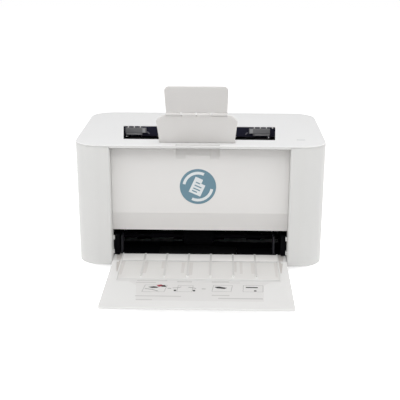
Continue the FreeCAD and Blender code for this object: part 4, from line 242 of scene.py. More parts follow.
class Material:
    """A node material with a few shortcuts for procedural surfaces, in object coordinates (metres)."""

    def __init__(self, name):
        self.material = bpy.data.materials.new(name)
        self.material.use_nodes = True
        self.nodes = self.material.node_tree.nodes
        self.links = self.material.node_tree.links
        self.shader = self.nodes["Principled BSDF"]
        self.coordinates = self.nodes.new("ShaderNodeTexCoord").outputs["Object"]

    def set(self, socket, value):
        self.shader.inputs[socket].default_value = value

    def colour(self, value):
        self.links.new(value, self.shader.inputs["Base Color"])

    def roughness(self, value):
        self.links.new(value, self.shader.inputs["Roughness"])

    def normal(self, value):
        self.links.new(value, self.shader.inputs["Normal"])

    def stretched(self, stretch):
        """The object coordinates, scaled along each axis where a stretch is given."""
        if stretch is None:
            return self.coordinates
        mapping = self.nodes.new("ShaderNodeMapping")
        mapping.inputs["Scale"].default_value = stretch
        self.links.new(self.coordinates, mapping.inputs["Vector"])
        return mapping.outputs["Vector"]

    def noise(self, scale, detail=3.0, stretch=None):
        node = self.nodes.new("ShaderNodeTexNoise")
        node.inputs["Scale"].default_value = scale
        node.inputs["Detail"].default_value = detail
        self.links.new(self.stretched(stretch), node.inputs["Vector"])
        return node.outputs["Fac"]

    def cells(self, scale, feature="F1", stretch=None):
        node = self.nodes.new("ShaderNodeTexVoronoi")
        node.feature = feature
        node.inputs["Scale"].default_value = scale
        self.links.new(self.stretched(stretch), node.inputs["Vector"])
        return node

    def waves(self, scale, distortion):
        node = self.nodes.new("ShaderNodeTexWave")
        node.inputs["Scale"].default_value = scale
        node.inputs["Distortion"].default_value = distortion
        self.links.new(self.coordinates, node.inputs["Vector"])
        return node.outputs["Fac"]

    def spread(self, value, low, high, start=0.0, end=1.0):
        """Maps start to end of a value onto low to high."""
        node = self.nodes.new("ShaderNodeMapRange")
        node.inputs["From Min"].default_value = start
        node.inputs["From Max"].default_value = end
        node.inputs["To Min"].default_value = low
        node.inputs["To Max"].default_value = high
        self.links.new(value, node.inputs["Value"])
        return node.outputs["Result"]

    def multiply(self, first, second):
        node = self.nodes.new("ShaderNodeMath")
        node.operation = "MULTIPLY"
        self.links.new(first, node.inputs[0])
        self.links.new(second, node.inputs[1])
        return node.outputs[0]

    def blend(self, factor, first, second):
        """Mixes two colours, each a constant or the output of another node."""
        node = self.nodes.new("ShaderNodeMix")
        node.data_type = "RGBA"
        self.links.new(factor, node.inputs["Factor"])
        for socket, colour in ((node.inputs["A"], first), (node.inputs["B"], second)):
            if isinstance(colour, tuple):
                socket.default_value = colour + (1.0,)
            else:
                self.links.new(colour, socket)
        return node.outputs["Result"]

    def bump(self, height, distance, strength=1.0, onto=None):
        node = self.nodes.new("ShaderNodeBump")
        node.inputs["Strength"].default_value = strength
        node.inputs["Distance"].default_value = distance
        self.links.new(height, node.inputs["Height"])
        if onto is not None:
            self.links.new(onto, node.inputs["Normal"])
        return node.outputs["Normal"]

    def edges(self):
        """1 on sharp edges, 0 on open faces."""
        bevel = self.nodes.new("ShaderNodeBevel")
        bevel.samples = 4
        bevel.inputs["Radius"].default_value = EDGE_RADIUS
        geometry = self.nodes.new("ShaderNodeNewGeometry")
        dot = self.nodes.new("ShaderNodeVectorMath")
        dot.operation = "DOT_PRODUCT"
        self.links.new(bevel.outputs["Normal"], dot.inputs[0])
        self.links.new(geometry.outputs["Normal"], dot.inputs[1])
        return self.spread(dot.outputs["Value"], 1.0, 0.0, EDGE_DOT, FACE_DOT)

    def above(self, height):
        """1 above a height in metres, 0 below it."""
        split = self.nodes.new("ShaderNodeSeparateXYZ")
        self.links.new(self.coordinates, split.inputs["Vector"])
        return self.spread(split.outputs["Z"], 0.0, 1.0, height - STEP_BLUR, height + STEP_BLUR)


def shade(colour, factor):
    return tuple(min(1.0, channel * factor) for channel in colour)


def plastic_tone(m, colour, variation, wear_and_sheen):
    """Faint cloudy variation, and slightly lighter edges where asked: partly scuffs, partly a painted
    highlight along the rims.
    """
    clouds = m.noise(CLOUD_SCALE, 4.0)
    tone = m.blend(clouds, shade(colour, 1.0 - variation), shade(colour, 1.0 + variation))
    if wear_and_sheen > 0.0:
        rim = m.edges()
        scuffs = m.noise(SCUFF_SCALE, 4.0)
        worn_and_sheen = m.multiply(rim, m.spread(scuffs, 0.0, wear_and_sheen, 0.4, 0.7))
        tone = m.blend(worn_and_sheen, tone, shade(colour, WORN_AND_SHEEN_LIGHTER))
    return tone


def plastic_grain(m, roughness, grain, depth, gloss):
    """Fine spark-eroded grain over a softer one."""
    fine = m.noise(grain, 2.0)
    m.roughness(m.spread(fine, roughness - 0.05, roughness + 0.06, 0.3, 0.7))
    soft = m.noise(grain * SOFT_GRAIN, 2.0)
    m.normal(m.bump(fine, depth, 0.35, m.bump(soft, depth * 1.5, 0.25)))
    m.set("IOR", PLASTIC_IOR)
    m.set("Specular IOR Level", gloss)


def moulded_plastic(name, colour, roughness, grain, depth, variation, wear_and_sheen=0.0, gloss=0.5):
    m = Material(name)
    m.colour(plastic_tone(m, colour, variation, wear_and_sheen))
    plastic_grain(m, roughness, grain, depth, gloss)
    return m.material


def lit_top_plastic(name, face, rim, rim_height, roughness, grain, depth, variation, wear_and_sheen):
    """Moulded plastic with painted light: the face above rim_height (metres) gets a lighter, lit tone and
    the rim below it a darker, shaded tone of the same white.
    """
    m = Material(name)
    face_tone = plastic_tone(m, face, variation, wear_and_sheen)
    m.colour(m.blend(m.above(rim_height), rim, face_tone))
    plastic_grain(m, roughness, grain, depth, 0.5)
    return m.material


def black_plastic(name, colour, roughness=0.5, gloss=0.12):
    """Dark, matt inner parts: dust in the grain, little gloss."""
    return moulded_plastic(name, colour, roughness, 700.0, 0.00005, 0.15, 0.2, gloss)


def rubber(name, colour, roughness, ribs=0.0, gloss=0.3):
    """Dusty rubber, with a fine grain or with ribs."""
    m = Material(name)
    dust = m.noise(70.0, 5.0)
    m.colour(m.blend(m.spread(dust, 0.0, 1.0, 0.35, 0.75), colour, shade(colour, DUST_LIGHTER)))
    m.roughness(m.spread(dust, roughness - 0.08, roughness + 0.1))
    height = m.waves(ribs, 0.4) if ribs > 0.0 else m.noise(RUBBER_GRAIN, 2.0)
    m.normal(m.bump(height, 0.00006, 0.5))
    m.set("Specular IOR Level", gloss)
    return m.material


def metal(name, colour, roughness, stretch=(1.0, 1.0, 1.0), scale=300.0):
    """Metal with brush marks along the axis that the stretch scales least."""
    m = Material(name)
    brushing = m.noise(scale, 3.0, stretch)
    clouds = m.noise(METAL_CLOUDS, 3.0)
    m.colour(m.blend(m.spread(clouds, 0.0, 1.0, 0.3, 0.7), shade(colour, 0.9), colour))
    m.roughness(m.spread(brushing, roughness - 0.08, roughness + 0.12, 0.3, 0.7))
    m.normal(m.bump(brushing, 0.00002, 0.3))
    m.set("Metallic", 1.0)
    return m.material


def zinc_sheet(name):
    """Hot-dip zinc: crystals of slightly different grey."""
    m = Material(name)
    spangle = m.cells(130.0)
    m.colour(m.blend(spangle.outputs["Color"], (0.50, 0.51, 0.53), (0.66, 0.67, 0.68)))
    m.roughness(m.spread(spangle.outputs["Distance"], 0.26, 0.42))
    m.normal(m.bump(m.noise(900.0, 2.0), 0.00002, 0.2))
    m.set("Metallic", 1.0)
    return m.material


def circuit_board(name):
    """Green solder mask over copper tracks."""
    m = Material(name)
    tracks = m.cells(170.0, "DISTANCE_TO_EDGE", (1.0, 1.0, 0.8))
    line = m.spread(tracks.outputs["Distance"], 1.0, 0.0, 0.03, 0.06)
    m.colour(m.blend(line, (0.015, 0.10, 0.045), (0.03, 0.20, 0.08)))
    m.roughness(m.spread(m.noise(400.0), 0.25, 0.4))
    m.normal(m.bump(line, 0.00003, 0.5))
    m.set("Coat Weight", 0.3)
    return m.material


def coated(name, colour, roughness, coat):
    """Smooth coated surface with faint turning marks."""
    m = Material(name)
    rings = m.noise(500.0, 2.0, (8.0, 0.3, 0.3))
    m.colour(m.blend(m.noise(18.0, 3.0), shade(colour, 0.92), shade(colour, 1.06)))
    m.roughness(m.spread(rings, roughness - 0.03, roughness + 0.05))
    m.normal(m.bump(rings, 0.00001, 0.2))
    m.set("Coat Weight", coat)
    return m.material


def mirror_metal(name):
    m = Material(name)
    m.colour(m.blend(m.noise(200.0), (0.86, 0.87, 0.88), (0.92, 0.92, 0.93)))
    m.roughness(m.spread(m.noise(800.0), 0.03, 0.08))
    m.set("Metallic", 1.0)
    return m.material


# ------------------------------------------------------------------------------- finishes
# Grains of the moulded plastics: scale, depth in metres, cloudy variation, and how much lighter the edges
# are painted, partly scuffing and partly painted highlight.
CASING = {"grain": 950.0, "depth": 0.00003, "variation": 0.012, "wear_and_sheen": 0.1}
SMOOTH = {"grain": 1200.0, "depth": 0.00002, "variation": 0.012, "wear_and_sheen": 0.1}
TOP = {"grain": 950.0, "depth": 0.00003, "variation": 0.01, "wear_and_sheen": 0.1}
HOLDER = {"grain": 900.0, "depth": 0.00003, "variation": 0.08, "wear_and_sheen": 0.2, "gloss": 0.3}
BUTTON = {"grain": 1200.0, "depth": 0.00002, "variation": 0.03}
GEAR = {"grain": 1400.0, "depth": 0.00001, "variation": 0.03}
PIN = {"grain": 1400.0, "depth": 0.00001, "variation": 0.02}
CHANNEL = {"grain": 1200.0, "depth": 0.00002, "variation": 0.02}
# Grains of the films that paint shade on the paper channel: rib tops, bands and grooves.
RIB_SHADE_GRAIN = {"grain": 1200.0, "depth": 0.00002, "variation": 0.03}
BAND_SHADE_GRAIN = {"grain": 1000.0, "depth": 0.00003, "variation": 0.04}
GROOVE_SHADE_GRAIN = {"grain": 1000.0, "depth": 0.00003, "variation": 0.05}
SMALL_PART = {"grain": 900.0, "depth": 0.00003, "variation": 0.05}
FILM_GRAIN = {"grain": 2000.0, "depth": 0.00001, "variation": 0.01}
INK = {"grain": 2000.0, "depth": 0.00001, "variation": 0.04}
PALE_INK = {"grain": 2000.0, "depth": 0.00001, "variation": 0.02}
ROLLER_RIBS = 260.0
ALONG_X = (0.2, 1.0, 1.0)
ALONG_MOTOR = (0.15, 1.0, 1.0)

# Painted light: the whites of the top, the sides and the door are one plastic in three tones set to how
# light falls. The top's is a lit copy, the sides' a shaded copy that also colours the top cover's upright
# rim, and the door's a lit copy against the shade of its recess.
LIT_TOP_WHITE = (0.832, 0.832, 0.832)
SHADED_SIDE_WHITE = (0.632, 0.63, 0.619)
SHELL_WHITE = (0.79, 0.785, 0.775)
LIT_DOOR_WHITE = (0.708, 0.696, 0.683)
TRAY_WHITE = (0.77, 0.765, 0.755)
SUPPORT_GREY = (0.72, 0.705, 0.69)
EXTENSION_GREY = (0.685, 0.67, 0.656)
BUTTON_GREY = (0.60, 0.61, 0.62)
HOLDER_GREY = (0.215, 0.215, 0.22)
IVORY = (0.78, 0.76, 0.68)
TOP_RIM = 0.1756         # m, where the upright rim of the top cover ends

SLOT_MATERIALS = {
    "white_top": lambda n: lit_top_plastic(n, LIT_TOP_WHITE, SHADED_SIDE_WHITE, TOP_RIM, 0.45, **TOP),
    "white_side": lambda n: moulded_plastic(n, SHADED_SIDE_WHITE, 0.44, **CASING),
    "white_shell": lambda n: moulded_plastic(n, SHELL_WHITE, 0.45, **CASING),
    "white_door": lambda n: moulded_plastic(n, LIT_DOOR_WHITE, 0.42, **CASING),
    "white_tray": lambda n: moulded_plastic(n, TRAY_WHITE, 0.40, **SMOOTH),
    "support_grey": lambda n: moulded_plastic(n, SUPPORT_GREY, 0.38, **SMOOTH),
    "button_grey": lambda n: moulded_plastic(n, BUTTON_GREY, 0.35, **BUTTON),
    "badge_face": lambda n: coated(n, (0.095, 0.20, 0.26), 0.3, 0.2),
    # Near-black and nearly without gloss, darker than black plastic is: painted shade on the guides deep in
    # the paper slot.
    "black_guide": lambda n: black_plastic(n, (0.003, 0.003, 0.004), 0.55, 0.04),
    "cartridge_black": lambda n: black_plastic(n, (0.010, 0.010, 0.012), 0.45),
    "socket_black": lambda n: black_plastic(n, (0.016, 0.016, 0.017), 0.4),
    "dark_grey": lambda n: black_plastic(n, (0.03, 0.03, 0.035), 0.42),
    "holder_grey": lambda n: moulded_plastic(n, HOLDER_GREY, 0.42, **HOLDER),
    "frame_grey": lambda n: black_plastic(n, (0.012, 0.012, 0.014)),
    "gear_ivory": lambda n: moulded_plastic(n, IVORY, 0.3, **GEAR),
    "foot_rubber": lambda n: rubber(n, (0.03, 0.03, 0.03), 0.8),
    "roller_rubber": lambda n: rubber(n, (0.010, 0.010, 0.011), 0.7, ROLLER_RIBS),
    "foam_grey": lambda n: rubber(n, (0.02, 0.02, 0.022), 0.9),
    "pressure_red": lambda n: rubber(n, (0.36, 0.07, 0.05), 0.6),
    "bright_steel": lambda n: metal(n, (0.62, 0.62, 0.63), 0.28, ALONG_X, 700.0),
    "motor_steel": lambda n: metal(n, (0.55, 0.55, 0.56), 0.35, ALONG_MOTOR, 600.0),
    "screw_steel": lambda n: metal(n, (0.50, 0.50, 0.52), 0.32),
    "zinc_sheet": zinc_sheet,
    "board_green": circuit_board,
    "drum_coat": lambda n: coated(n, (0.05, 0.26, 0.24), 0.12, 0.5),
    "roller_coat": lambda n: coated(n, (0.06, 0.06, 0.065), 0.3, 0.2),
    "mirror_face": mirror_metal,
}

# Finishes of the pieces that exist only here.
EXTRA_MATERIALS = {
    "badge_print": lambda n: coated(n, (0.66, 0.69, 0.70), 0.35, 0.2),
    # Painted light and shade on the paper channel: the tray's floor film is painted shade, darker and warmer
    # than the tray; the sill's floor film is painted light, lighter to offset the shade under the door; rib
    # tops, bands and grooves are painted shade.
    "tray_floor": lambda n: moulded_plastic(n, (0.75, 0.738, 0.72), 0.42, **CHANNEL),
    "sill_floor_painted_light": lambda n: moulded_plastic(n, (0.93, 0.915, 0.895), 0.42, **CHANNEL),
    "rib_cap_shade": lambda n: moulded_plastic(n, (0.66, 0.65, 0.635), 0.45, **RIB_SHADE_GRAIN),
    "tray_band_shade": lambda n: moulded_plastic(n, (0.68, 0.66, 0.64), 0.5, **BAND_SHADE_GRAIN),
    "tray_groove_shade": lambda n: moulded_plastic(n, (0.62, 0.59, 0.565), 0.55, **GROOVE_SHADE_GRAIN),
    # A darker film over the tray's front: painted reflection of the dark paper slot.
    "slot_reflection_film": lambda n: moulded_plastic(n, (0.725, 0.715, 0.705), 0.35, **FILM_GRAIN),
    "ink_black": lambda n: black_plastic(n, (0.03, 0.03, 0.03), 0.4),
    "ink_grey": lambda n: moulded_plastic(n, (0.32, 0.315, 0.31), 0.4, **INK),
    "ink_pale": lambda n: moulded_plastic(n, (0.56, 0.55, 0.54), 0.4, **PALE_INK),
    "ink_red": lambda n: moulded_plastic(n, (0.42, 0.04, 0.07), 0.4, **INK),
    # A dark strip under the lip that stands for the shadow line there: painted shadow.
    "shadow_strip_grey": lambda n: rubber(n, (0.05, 0.045, 0.04), 0.8),
    "holder_light": lambda n: moulded_plastic(n, (0.42, 0.42, 0.425), 0.4, **SMALL_PART),
    "lever_grey": lambda n: moulded_plastic(n, (0.16, 0.16, 0.18), 0.4, **SMALL_PART),
}

# Finishes of CAD pieces that differ from the rest of their slot: the dark paper path, whose parts deep in
# the slot are painted darker than they are as shade, and the output support, whose fold pin is painted
# nearly white as light through the slits.
NODE_MATERIALS = {
    # Darker copies of black plastic, rubber and steel for the parts deep in the paper slot: painted shade.
    "path_shade_black": lambda n: black_plastic(n, (0.004, 0.004, 0.005), 0.6, 0.03),
    "path_shade_rubber": lambda n: rubber(n, (0.002, 0.002, 0.0025), 0.85, ROLLER_RIBS, 0.05),
    "path_shade_steel": lambda n: metal(n, (0.03, 0.03, 0.032), 0.55, ALONG_X, 700.0),
    "exit_black": lambda n: black_plastic(n, (0.018, 0.018, 0.033), 0.5),
    "extension_grey": lambda n: moulded_plastic(n, EXTENSION_GREY, 0.38, **SMOOTH),
    # The fold pin painted nearly white, so that the slits between the support's knuckles look lit: painted
    # light.
    "pin_painted_bright": lambda n: moulded_plastic(n, (0.92, 0.915, 0.90), 0.4, **PIN),
}
NODE_FINISHES = {
    "pickup_shaft": "path_shade_black",
    "feed_pinch": "path_shade_black",
    "pickup_tyre": "path_shade_rubber",
    "separation_pad": "path_shade_rubber",
    "feed_roller": "path_shade_rubber",
    "lift_plate": "path_shade_steel",
    "exit_guide": "exit_black",
    "output_extension": "extension_grey",
    "fold_pin": "pin_painted_bright",
}


def dress_cad_nodes():
    recipes = {**SLOT_MATERIALS, **EXTRA_MATERIALS, **NODE_MATERIALS}
    made = {name: build(name) for name, build in recipes.items()}
    for entry in frame["record"]["subparts"]:
        finish = NODE_FINISHES.get(entry["node"], entry["material_slot"])
        for material_slot in frame["nodes"][entry["node"]].material_slots:
            material_slot.material = made[finish]
    return made


# ------------------------------------------------------------------------------- meshes
OVERLAP = 0.02           # how far a film or a sign sinks into the piece that carries it


def mesh_piece(name, vertices, faces, material, body):
    mesh = bpy.data.meshes.new(name)
    mesh.from_pydata([tuple(v) for v in vertices], [], faces)
    mesh.validate()
    bm = bmesh.new()
    bm.from_mesh(mesh)
    bmesh.ops.recalc_face_normals(bm, faces=bm.faces)
    bm.to_mesh(mesh)
    bm.free()
    piece = bpy.data.objects.new(name, mesh)
    bpy.context.scene.collection.objects.link(piece)
    mesh.materials.append(material)
    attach(piece, body)
    return piece


def axis_place(axis, a, b, along):
    """The point at a distance along an axis; a and b are the two other coordinates in order."""
    if axis == "x":
        return place(along, a, b)
    if axis == "y":
        return place(a, along, b)
    return place(a, b, along)


def prism(name, outlines, axis, low, high, material, body, slot_name):
    """One mesh of flat-ended prisms along an axis, from low to high, one for each outline."""
    vertices = []
    faces = []
    for outline in outlines:
        start = len(vertices)
        count = len(outline)
        vertices += [axis_place(axis, a, b, low) for a, b in outline]
        vertices += [axis_place(axis, a, b, high) for a, b in outline]
        faces.append(tuple(range(start, start + count)))
        faces.append(tuple(range(start + count, start + 2 * count)))
        for k in range(count):
            after = (k + 1) % count
            faces.append((start + k, start + after, start + count + after, start + count + k))
    return mesh_piece(name, vertices, faces, material, body)


def stroke(x0, y0, x1, y1, width):
    """A straight line of the given width as a four-cornered outline."""
    length = math.hypot(x1 - x0, y1 - y0)
    side_x = (y0 - y1) / length * width / 2
    side_y = (x1 - x0) / length * width / 2
    return [(x0 + side_x, y0 + side_y), (x0 - side_x, y0 - side_y),
            (x1 - side_x, y1 - side_y), (x1 + side_x, y1 + side_y)]


def path_strokes(points, width):
    return [stroke(*start, *end, width) for start, end in zip(points, points[1:])]


def lathe_y(profile, centre, steps=96):
    """Turns (radius, y) points about a line along Y through centre (x, z), all in millimetres."""
    vertices = []
    faces = []
    for radius, y in profile:
        for k in range(steps):
            angle = 2 * math.pi * k / steps
            x = centre[0] + radius * math.cos(angle)
            z = centre[1] + radius * math.sin(angle)
            vertices.append(place(x, y, z))
    rings = len(profile)
    for ring in range(rings - 1):
        for k in range(steps):
            a = ring * steps + k
            b = ring * steps + (k + 1) % steps
            faces.append((a, b, b + steps, a + steps))
    faces.append(tuple(range(steps)))
    faces.append(tuple(range((rings - 1) * steps, rings * steps)))
    return vertices, faces


# ------------------------------------------------------------------------------- badge
BADGE_CENTRE = (-2.8, 116.5)
BADGE_RADIUS = 24.5
BADGE_FRONT = 13.9
BADGE_BACK = 14.4
BADGE_CHAMFER = 0.25
BADGE_CHAMFER_DEPTH = 0.18
BADGE_CAP_RADIUS = 0.5   # the ring that closes the middle of the disc's face
BADGE_TILT = math.radians(24)
PRINT_LIFT = 0.06
SHEET_HALF_WIDTH = 8.5
SHEET_HALF_HEIGHT = 11.5
SHEET_FOLD = 6.0
LINE_START = -5.0
LINE_HALF = 0.8
SHEET_LINES = ((4.6, 1.0), (0.2, 5.0), (-4.2, 5.0), (-8.0, 2.0))     # height and end of each line of text
ARC_INNER = 17.0
ARC_OUTER = 20.8
ARC_STARTS = (65, 245)
ARC_SWEEP = 105


def badge_point(across, up):
    """A point of the tilted sheet sign, from the badge's centre."""
    x = across * math.cos(BADGE_TILT) + up * math.sin(BADGE_TILT)
    z = up * math.cos(BADGE_TILT) - across * math.sin(BADGE_TILT)
    return BADGE_CENTRE[0] + x, BADGE_CENTRE[1] + z


def circle_point(radius, angle):
    return BADGE_CENTRE[0] + radius * math.cos(angle), BADGE_CENTRE[1] + radius * math.sin(angle)


def badge_arc(start, steps=24):
    """An arc round the badge's centre as short four-cornered outlines."""
    angles = [math.radians(start + ARC_SWEEP * k / steps) for k in range(steps + 1)]
    outer = [circle_point(ARC_OUTER, angle) for angle in angles]
    inner = [circle_point(ARC_INNER, angle) for angle in angles]
    return [[outer[k], outer[k + 1], inner[k + 1], inner[k]] for k in range(steps)]


def sheet_fold():
    """The three corners of the sheet's folded upper right corner."""
    left = SHEET_HALF_WIDTH - SHEET_FOLD
    low = SHEET_HALF_HEIGHT - SHEET_FOLD
    return [(left, SHEET_HALF_HEIGHT), (left, low), (SHEET_HALF_WIDTH, low)]


def sheet_sign():
    upper_left, _, lower_right = sheet_fold()
    corners = [(-SHEET_HALF_WIDTH, -SHEET_HALF_HEIGHT), (SHEET_HALF_WIDTH, -SHEET_HALF_HEIGHT), lower_right,
               upper_left, (-SHEET_HALF_WIDTH, SHEET_HALF_HEIGHT)]
    return [badge_point(*corner) for corner in corners]


def add_badge(materials):
    profile = [(BADGE_RADIUS, BADGE_BACK), (BADGE_RADIUS, BADGE_FRONT + BADGE_CHAMFER_DEPTH),
               (BADGE_RADIUS - BADGE_CHAMFER, BADGE_FRONT), (BADGE_CAP_RADIUS, BADGE_FRONT)]
    vertices, faces = lathe_y(profile, BADGE_CENTRE)
    piece = mesh_piece("badge_disc", vertices, faces, materials["badge_face"], "front_door")
    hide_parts("badge")
    sign_front = BADGE_FRONT - PRINT_LIFT
    signs = [sheet_sign()] + [outline for start in ARC_STARTS for outline in badge_arc(start)]
    prism("badge_sign", signs, "y", sign_front, BADGE_FRONT + OVERLAP, materials["badge_print"],
          "front_door", "badge_face")
    lines = [[badge_point(*p) for p in rectangle(LINE_START, end, up - LINE_HALF, up + LINE_HALF)]
             for up, end in SHEET_LINES]
    fold = [badge_point(*corner) for corner in sheet_fold()]
    prism("badge_lines", lines + [fold], "y", sign_front - PRINT_LIFT, sign_front + OVERLAP,
          materials["badge_face"], "front_door", "badge_face")


# ------------------------------------------------------------------------------- door and lip
DOOR_HALF = 119.1
DOOR_EDGE = [(14.0, 169.4), (14.0, 79.0), (20.5, 52.6), (21.9, 53.2), (15.3, 79.2), (15.3, 169.4)]
BEAD = 0.25
LIP_HALF = 119.2
LIP_BOTTOM = 172.1
# The dark strip under the lip is painted shadow; these give its height and its depth behind the front plane.
LIP_SHADOW_STRIP = 0.5
SHADOW_STRIP_DEPTH = (0.3, 1.2)
GRIP = (-32.6, 26.2)


def add_door_trim(materials):
    """A fine bead along both side edges of the front door, and a dark strip under the lip above it: painted
    shadow, the shadow line where the lip meets the door.
    """
    for name, side in (("left", -1), ("right", 1)):
        prism("door_bead_" + name, [DOOR_EDGE], "x", side * (DOOR_HALF - OVERLAP), side * (DOOR_HALF + BEAD),
              materials["white_door"], "front_door", "white_door")
    profile = rectangle(*SHADOW_STRIP_DEPTH, LIP_BOTTOM - LIP_SHADOW_STRIP, LIP_BOTTOM + OVERLAP)
    for name, x0, x1 in (("left", -LIP_HALF, GRIP[0]), ("right", GRIP[1], LIP_HALF)):
        prism("lip_shadow_strip_" + name, [profile], "x", x0, x1, materials["shadow_strip_grey"], "chassis", "dark_grey")


# ------------------------------------------------------------------------------- output window
EXIT_WALL = 119.4
WINDOW_BACK_EDGE = 121.5
WINDOW_RIB_ROWS = ((-106.2, 3), (75.4, 4))       # first rib of each row and how many there are
WINDOW_RIB_PITCH = 8.7
WINDOW_RIB_HALF = 0.75
WINDOW_RIB_SPAN = (173.9, 175.9)
HOLDER_LEFT = -110.0
HOLDER_RIGHT = 97.8
HOLDER_FACE = 116.0
HOOK_BOTTOM = 166.9
HOOK_TOP = 173.8
SEAT = 0.1               # how far ribs and levers reach into what carries them
RIB_REACH = 0.8          # how far the ribs stand in front of the exit wall
LEVER_REACH = 1.2
TAB_THICKNESS = 0.3
STRIP_SPAN = (HOLDER_FACE + 0.8, HOLDER_FACE + 1.2 + OVERLAP)
TAB_MARGIN = 0.4         # between a tab and the bottom and top of its hook
TABS = [(HOLDER_LEFT + 24.4, HOLDER_LEFT + 28.4), (HOLDER_RIGHT - 28.6, HOLDER_RIGHT - 24.4)]
STRIP_DROP = 2.6         # from the hooks' bottom down to the strips' bottom
LEFT_STRIP = (HOLDER_LEFT + 1.0, HOLDER_LEFT + 23.0, HOOK_BOTTOM - STRIP_DROP, HOOK_BOTTOM - 0.8)
RIGHT_STRIP = (HOLDER_RIGHT - 22.0, HOLDER_RIGHT - 1.0, HOOK_BOTTOM - STRIP_DROP, HOOK_BOTTOM - 1.2)
LEVER_OUTLINE = ((0, 167.5), (1.4, 168.4), (4.6, 165.2), (3.6, 164.2))
LEVERS = ((HOLDER_LEFT + 30.2, 1), (HOLDER_RIGHT - 31.2, -1))        # place and the side it leans to


def add_window_details(materials):
    """Ribs on the window's back edge, light tabs on the roller holders and a sheet lever beside each."""
    centres = [first + k * WINDOW_RIB_PITCH for first, count in WINDOW_RIB_ROWS for k in range(count)]
    ribs = [rectangle(x - WINDOW_RIB_HALF, x + WINDOW_RIB_HALF, *WINDOW_RIB_SPAN) for x in centres]
    prism("window_ribs", ribs, "y", EXIT_WALL - RIB_REACH, WINDOW_BACK_EDGE + SEAT, materials["tray_floor"],
          "chassis", "white_top")
    tabs = [rectangle(*tab, HOOK_BOTTOM + TAB_MARGIN, HOOK_TOP - TAB_MARGIN) for tab in TABS]
    tab_front = HOLDER_FACE - TAB_THICKNESS
    prism("holder_tabs", tabs, "y", tab_front, HOLDER_FACE + OVERLAP, materials["holder_light"],
          "chassis", "holder_grey")
    strips = [rectangle(*LEFT_STRIP), rectangle(*RIGHT_STRIP)]
    prism("holder_strips", strips, "y", *STRIP_SPAN, materials["holder_light"], "chassis", "holder_grey")
    levers = [[(middle + side * across, up) for across, up in LEVER_OUTLINE] for middle, side in LEVERS]
    prism("sheet_levers", levers, "y", EXIT_WALL - LEVER_REACH, EXIT_WALL + SEAT, materials["lever_grey"],
          "chassis", "holder_grey")


# ------------------------------------------------------------------------------- paper tray
TRAY_TOP = 14.0
TRAY_FLOOR = 12.1
SILL_FLOOR = 12.8
CHANNEL_HALF = 106.4
CHANNEL_WALL = 1.6
RIB_COUNT = 6
RIB_PITCH = 30.4
RIB_HALF = 1.3
RIB_TOP = 13.8
RIB_FRONT = -49.9
TRAY_BACK = 4.4
SILL_SPAN = (6.7, 31.6)
FLOOR_FRONT = -57.5
GROOVE_FRONT = -39.0
GROOVE_INNER = CHANNEL_HALF + CHANNEL_WALL
GROOVE_OUTER = GROOVE_INNER + 1.5                # at the groove's front end
GROOVE_FLARE = 7.5       # how much farther out it ends at the back
GROOVE_START = -40.0
GROOVE_LENGTH = 72.0
FLOOR_MARGIN = 0.1
CAP_MARGIN = 0.05
FILM = 0.05
# The darker film on the tray's front, a painted reflection of the dark slot.
SLOT_REFLECTION = [(-90, -73), (-79, -86), (-75, -135), (82, -135), (84, -84), (92, -73)]

# Bands of painted shade on the channel's floor: x at the back, width at the back and front, back y, front y.
SHADE_BANDS = [
    (-105.9, 4.5, 4.0, 4.4, -46),
    (-76.0, 6.5, 6.0, 2, -40),
    (-51.2, 5.0, 4.0, 4.4, -22),
    (-24.0, 4.5, 4.0, 0, -38),
    (-13.6, 5.0, 5.0, 0, -45),
    (13.0, 0.8, 0.8, 4, -40),
    (47.2, 3.2, 3.0, 4, -33),
    (54.5, 4.0, 3.6, 4, -39),
    (69.6, 4.8, 4.8, 2, -38),
    (101.2, 4.8, 2.8, 4.4, -50),
]


def rib_places():
    return [(index - (RIB_COUNT - 1) / 2) * RIB_PITCH for index in range(RIB_COUNT)]


def floor_strips(front, back):
    """The strips of the channel's floor between its ribs."""
    lefts = [-CHANNEL_HALF + FLOOR_MARGIN] + [x + RIB_HALF + FLOOR_MARGIN for x in rib_places()]
    rights = [x - RIB_HALF - FLOOR_MARGIN for x in rib_places()] + [CHANNEL_HALF - FLOOR_MARGIN]
    return [rectangle(x0, x1, front, back) for x0, x1 in zip(lefts, rights)]


def rib_caps(front, back):
    """The tops of the ribs, a little inside their edges, where films paint them darker as shade."""
    half = RIB_HALF - CAP_MARGIN
    return [rectangle(x - half, x + half, front, back) for x in rib_places()]


def groove_outer(y):
    return GROOVE_OUTER + GROOVE_FLARE * (y - GROOVE_START) / GROOVE_LENGTH - FLOOR_MARGIN


def groove_pair(front, back):
    """The floors of the two grooves beside the channel, which flare towards the back."""
    inner = GROOVE_INNER + FLOOR_MARGIN
    return [[(side * inner, front), (side * groove_outer(front), front),
             (side * groove_outer(back), back), (side * inner, back)] for side in (-1, 1)]


def add_film(name, outlines, level, material, body, slot_name):
    prism(name, outlines, "z", level - OVERLAP, level + FILM, material, body, slot_name)


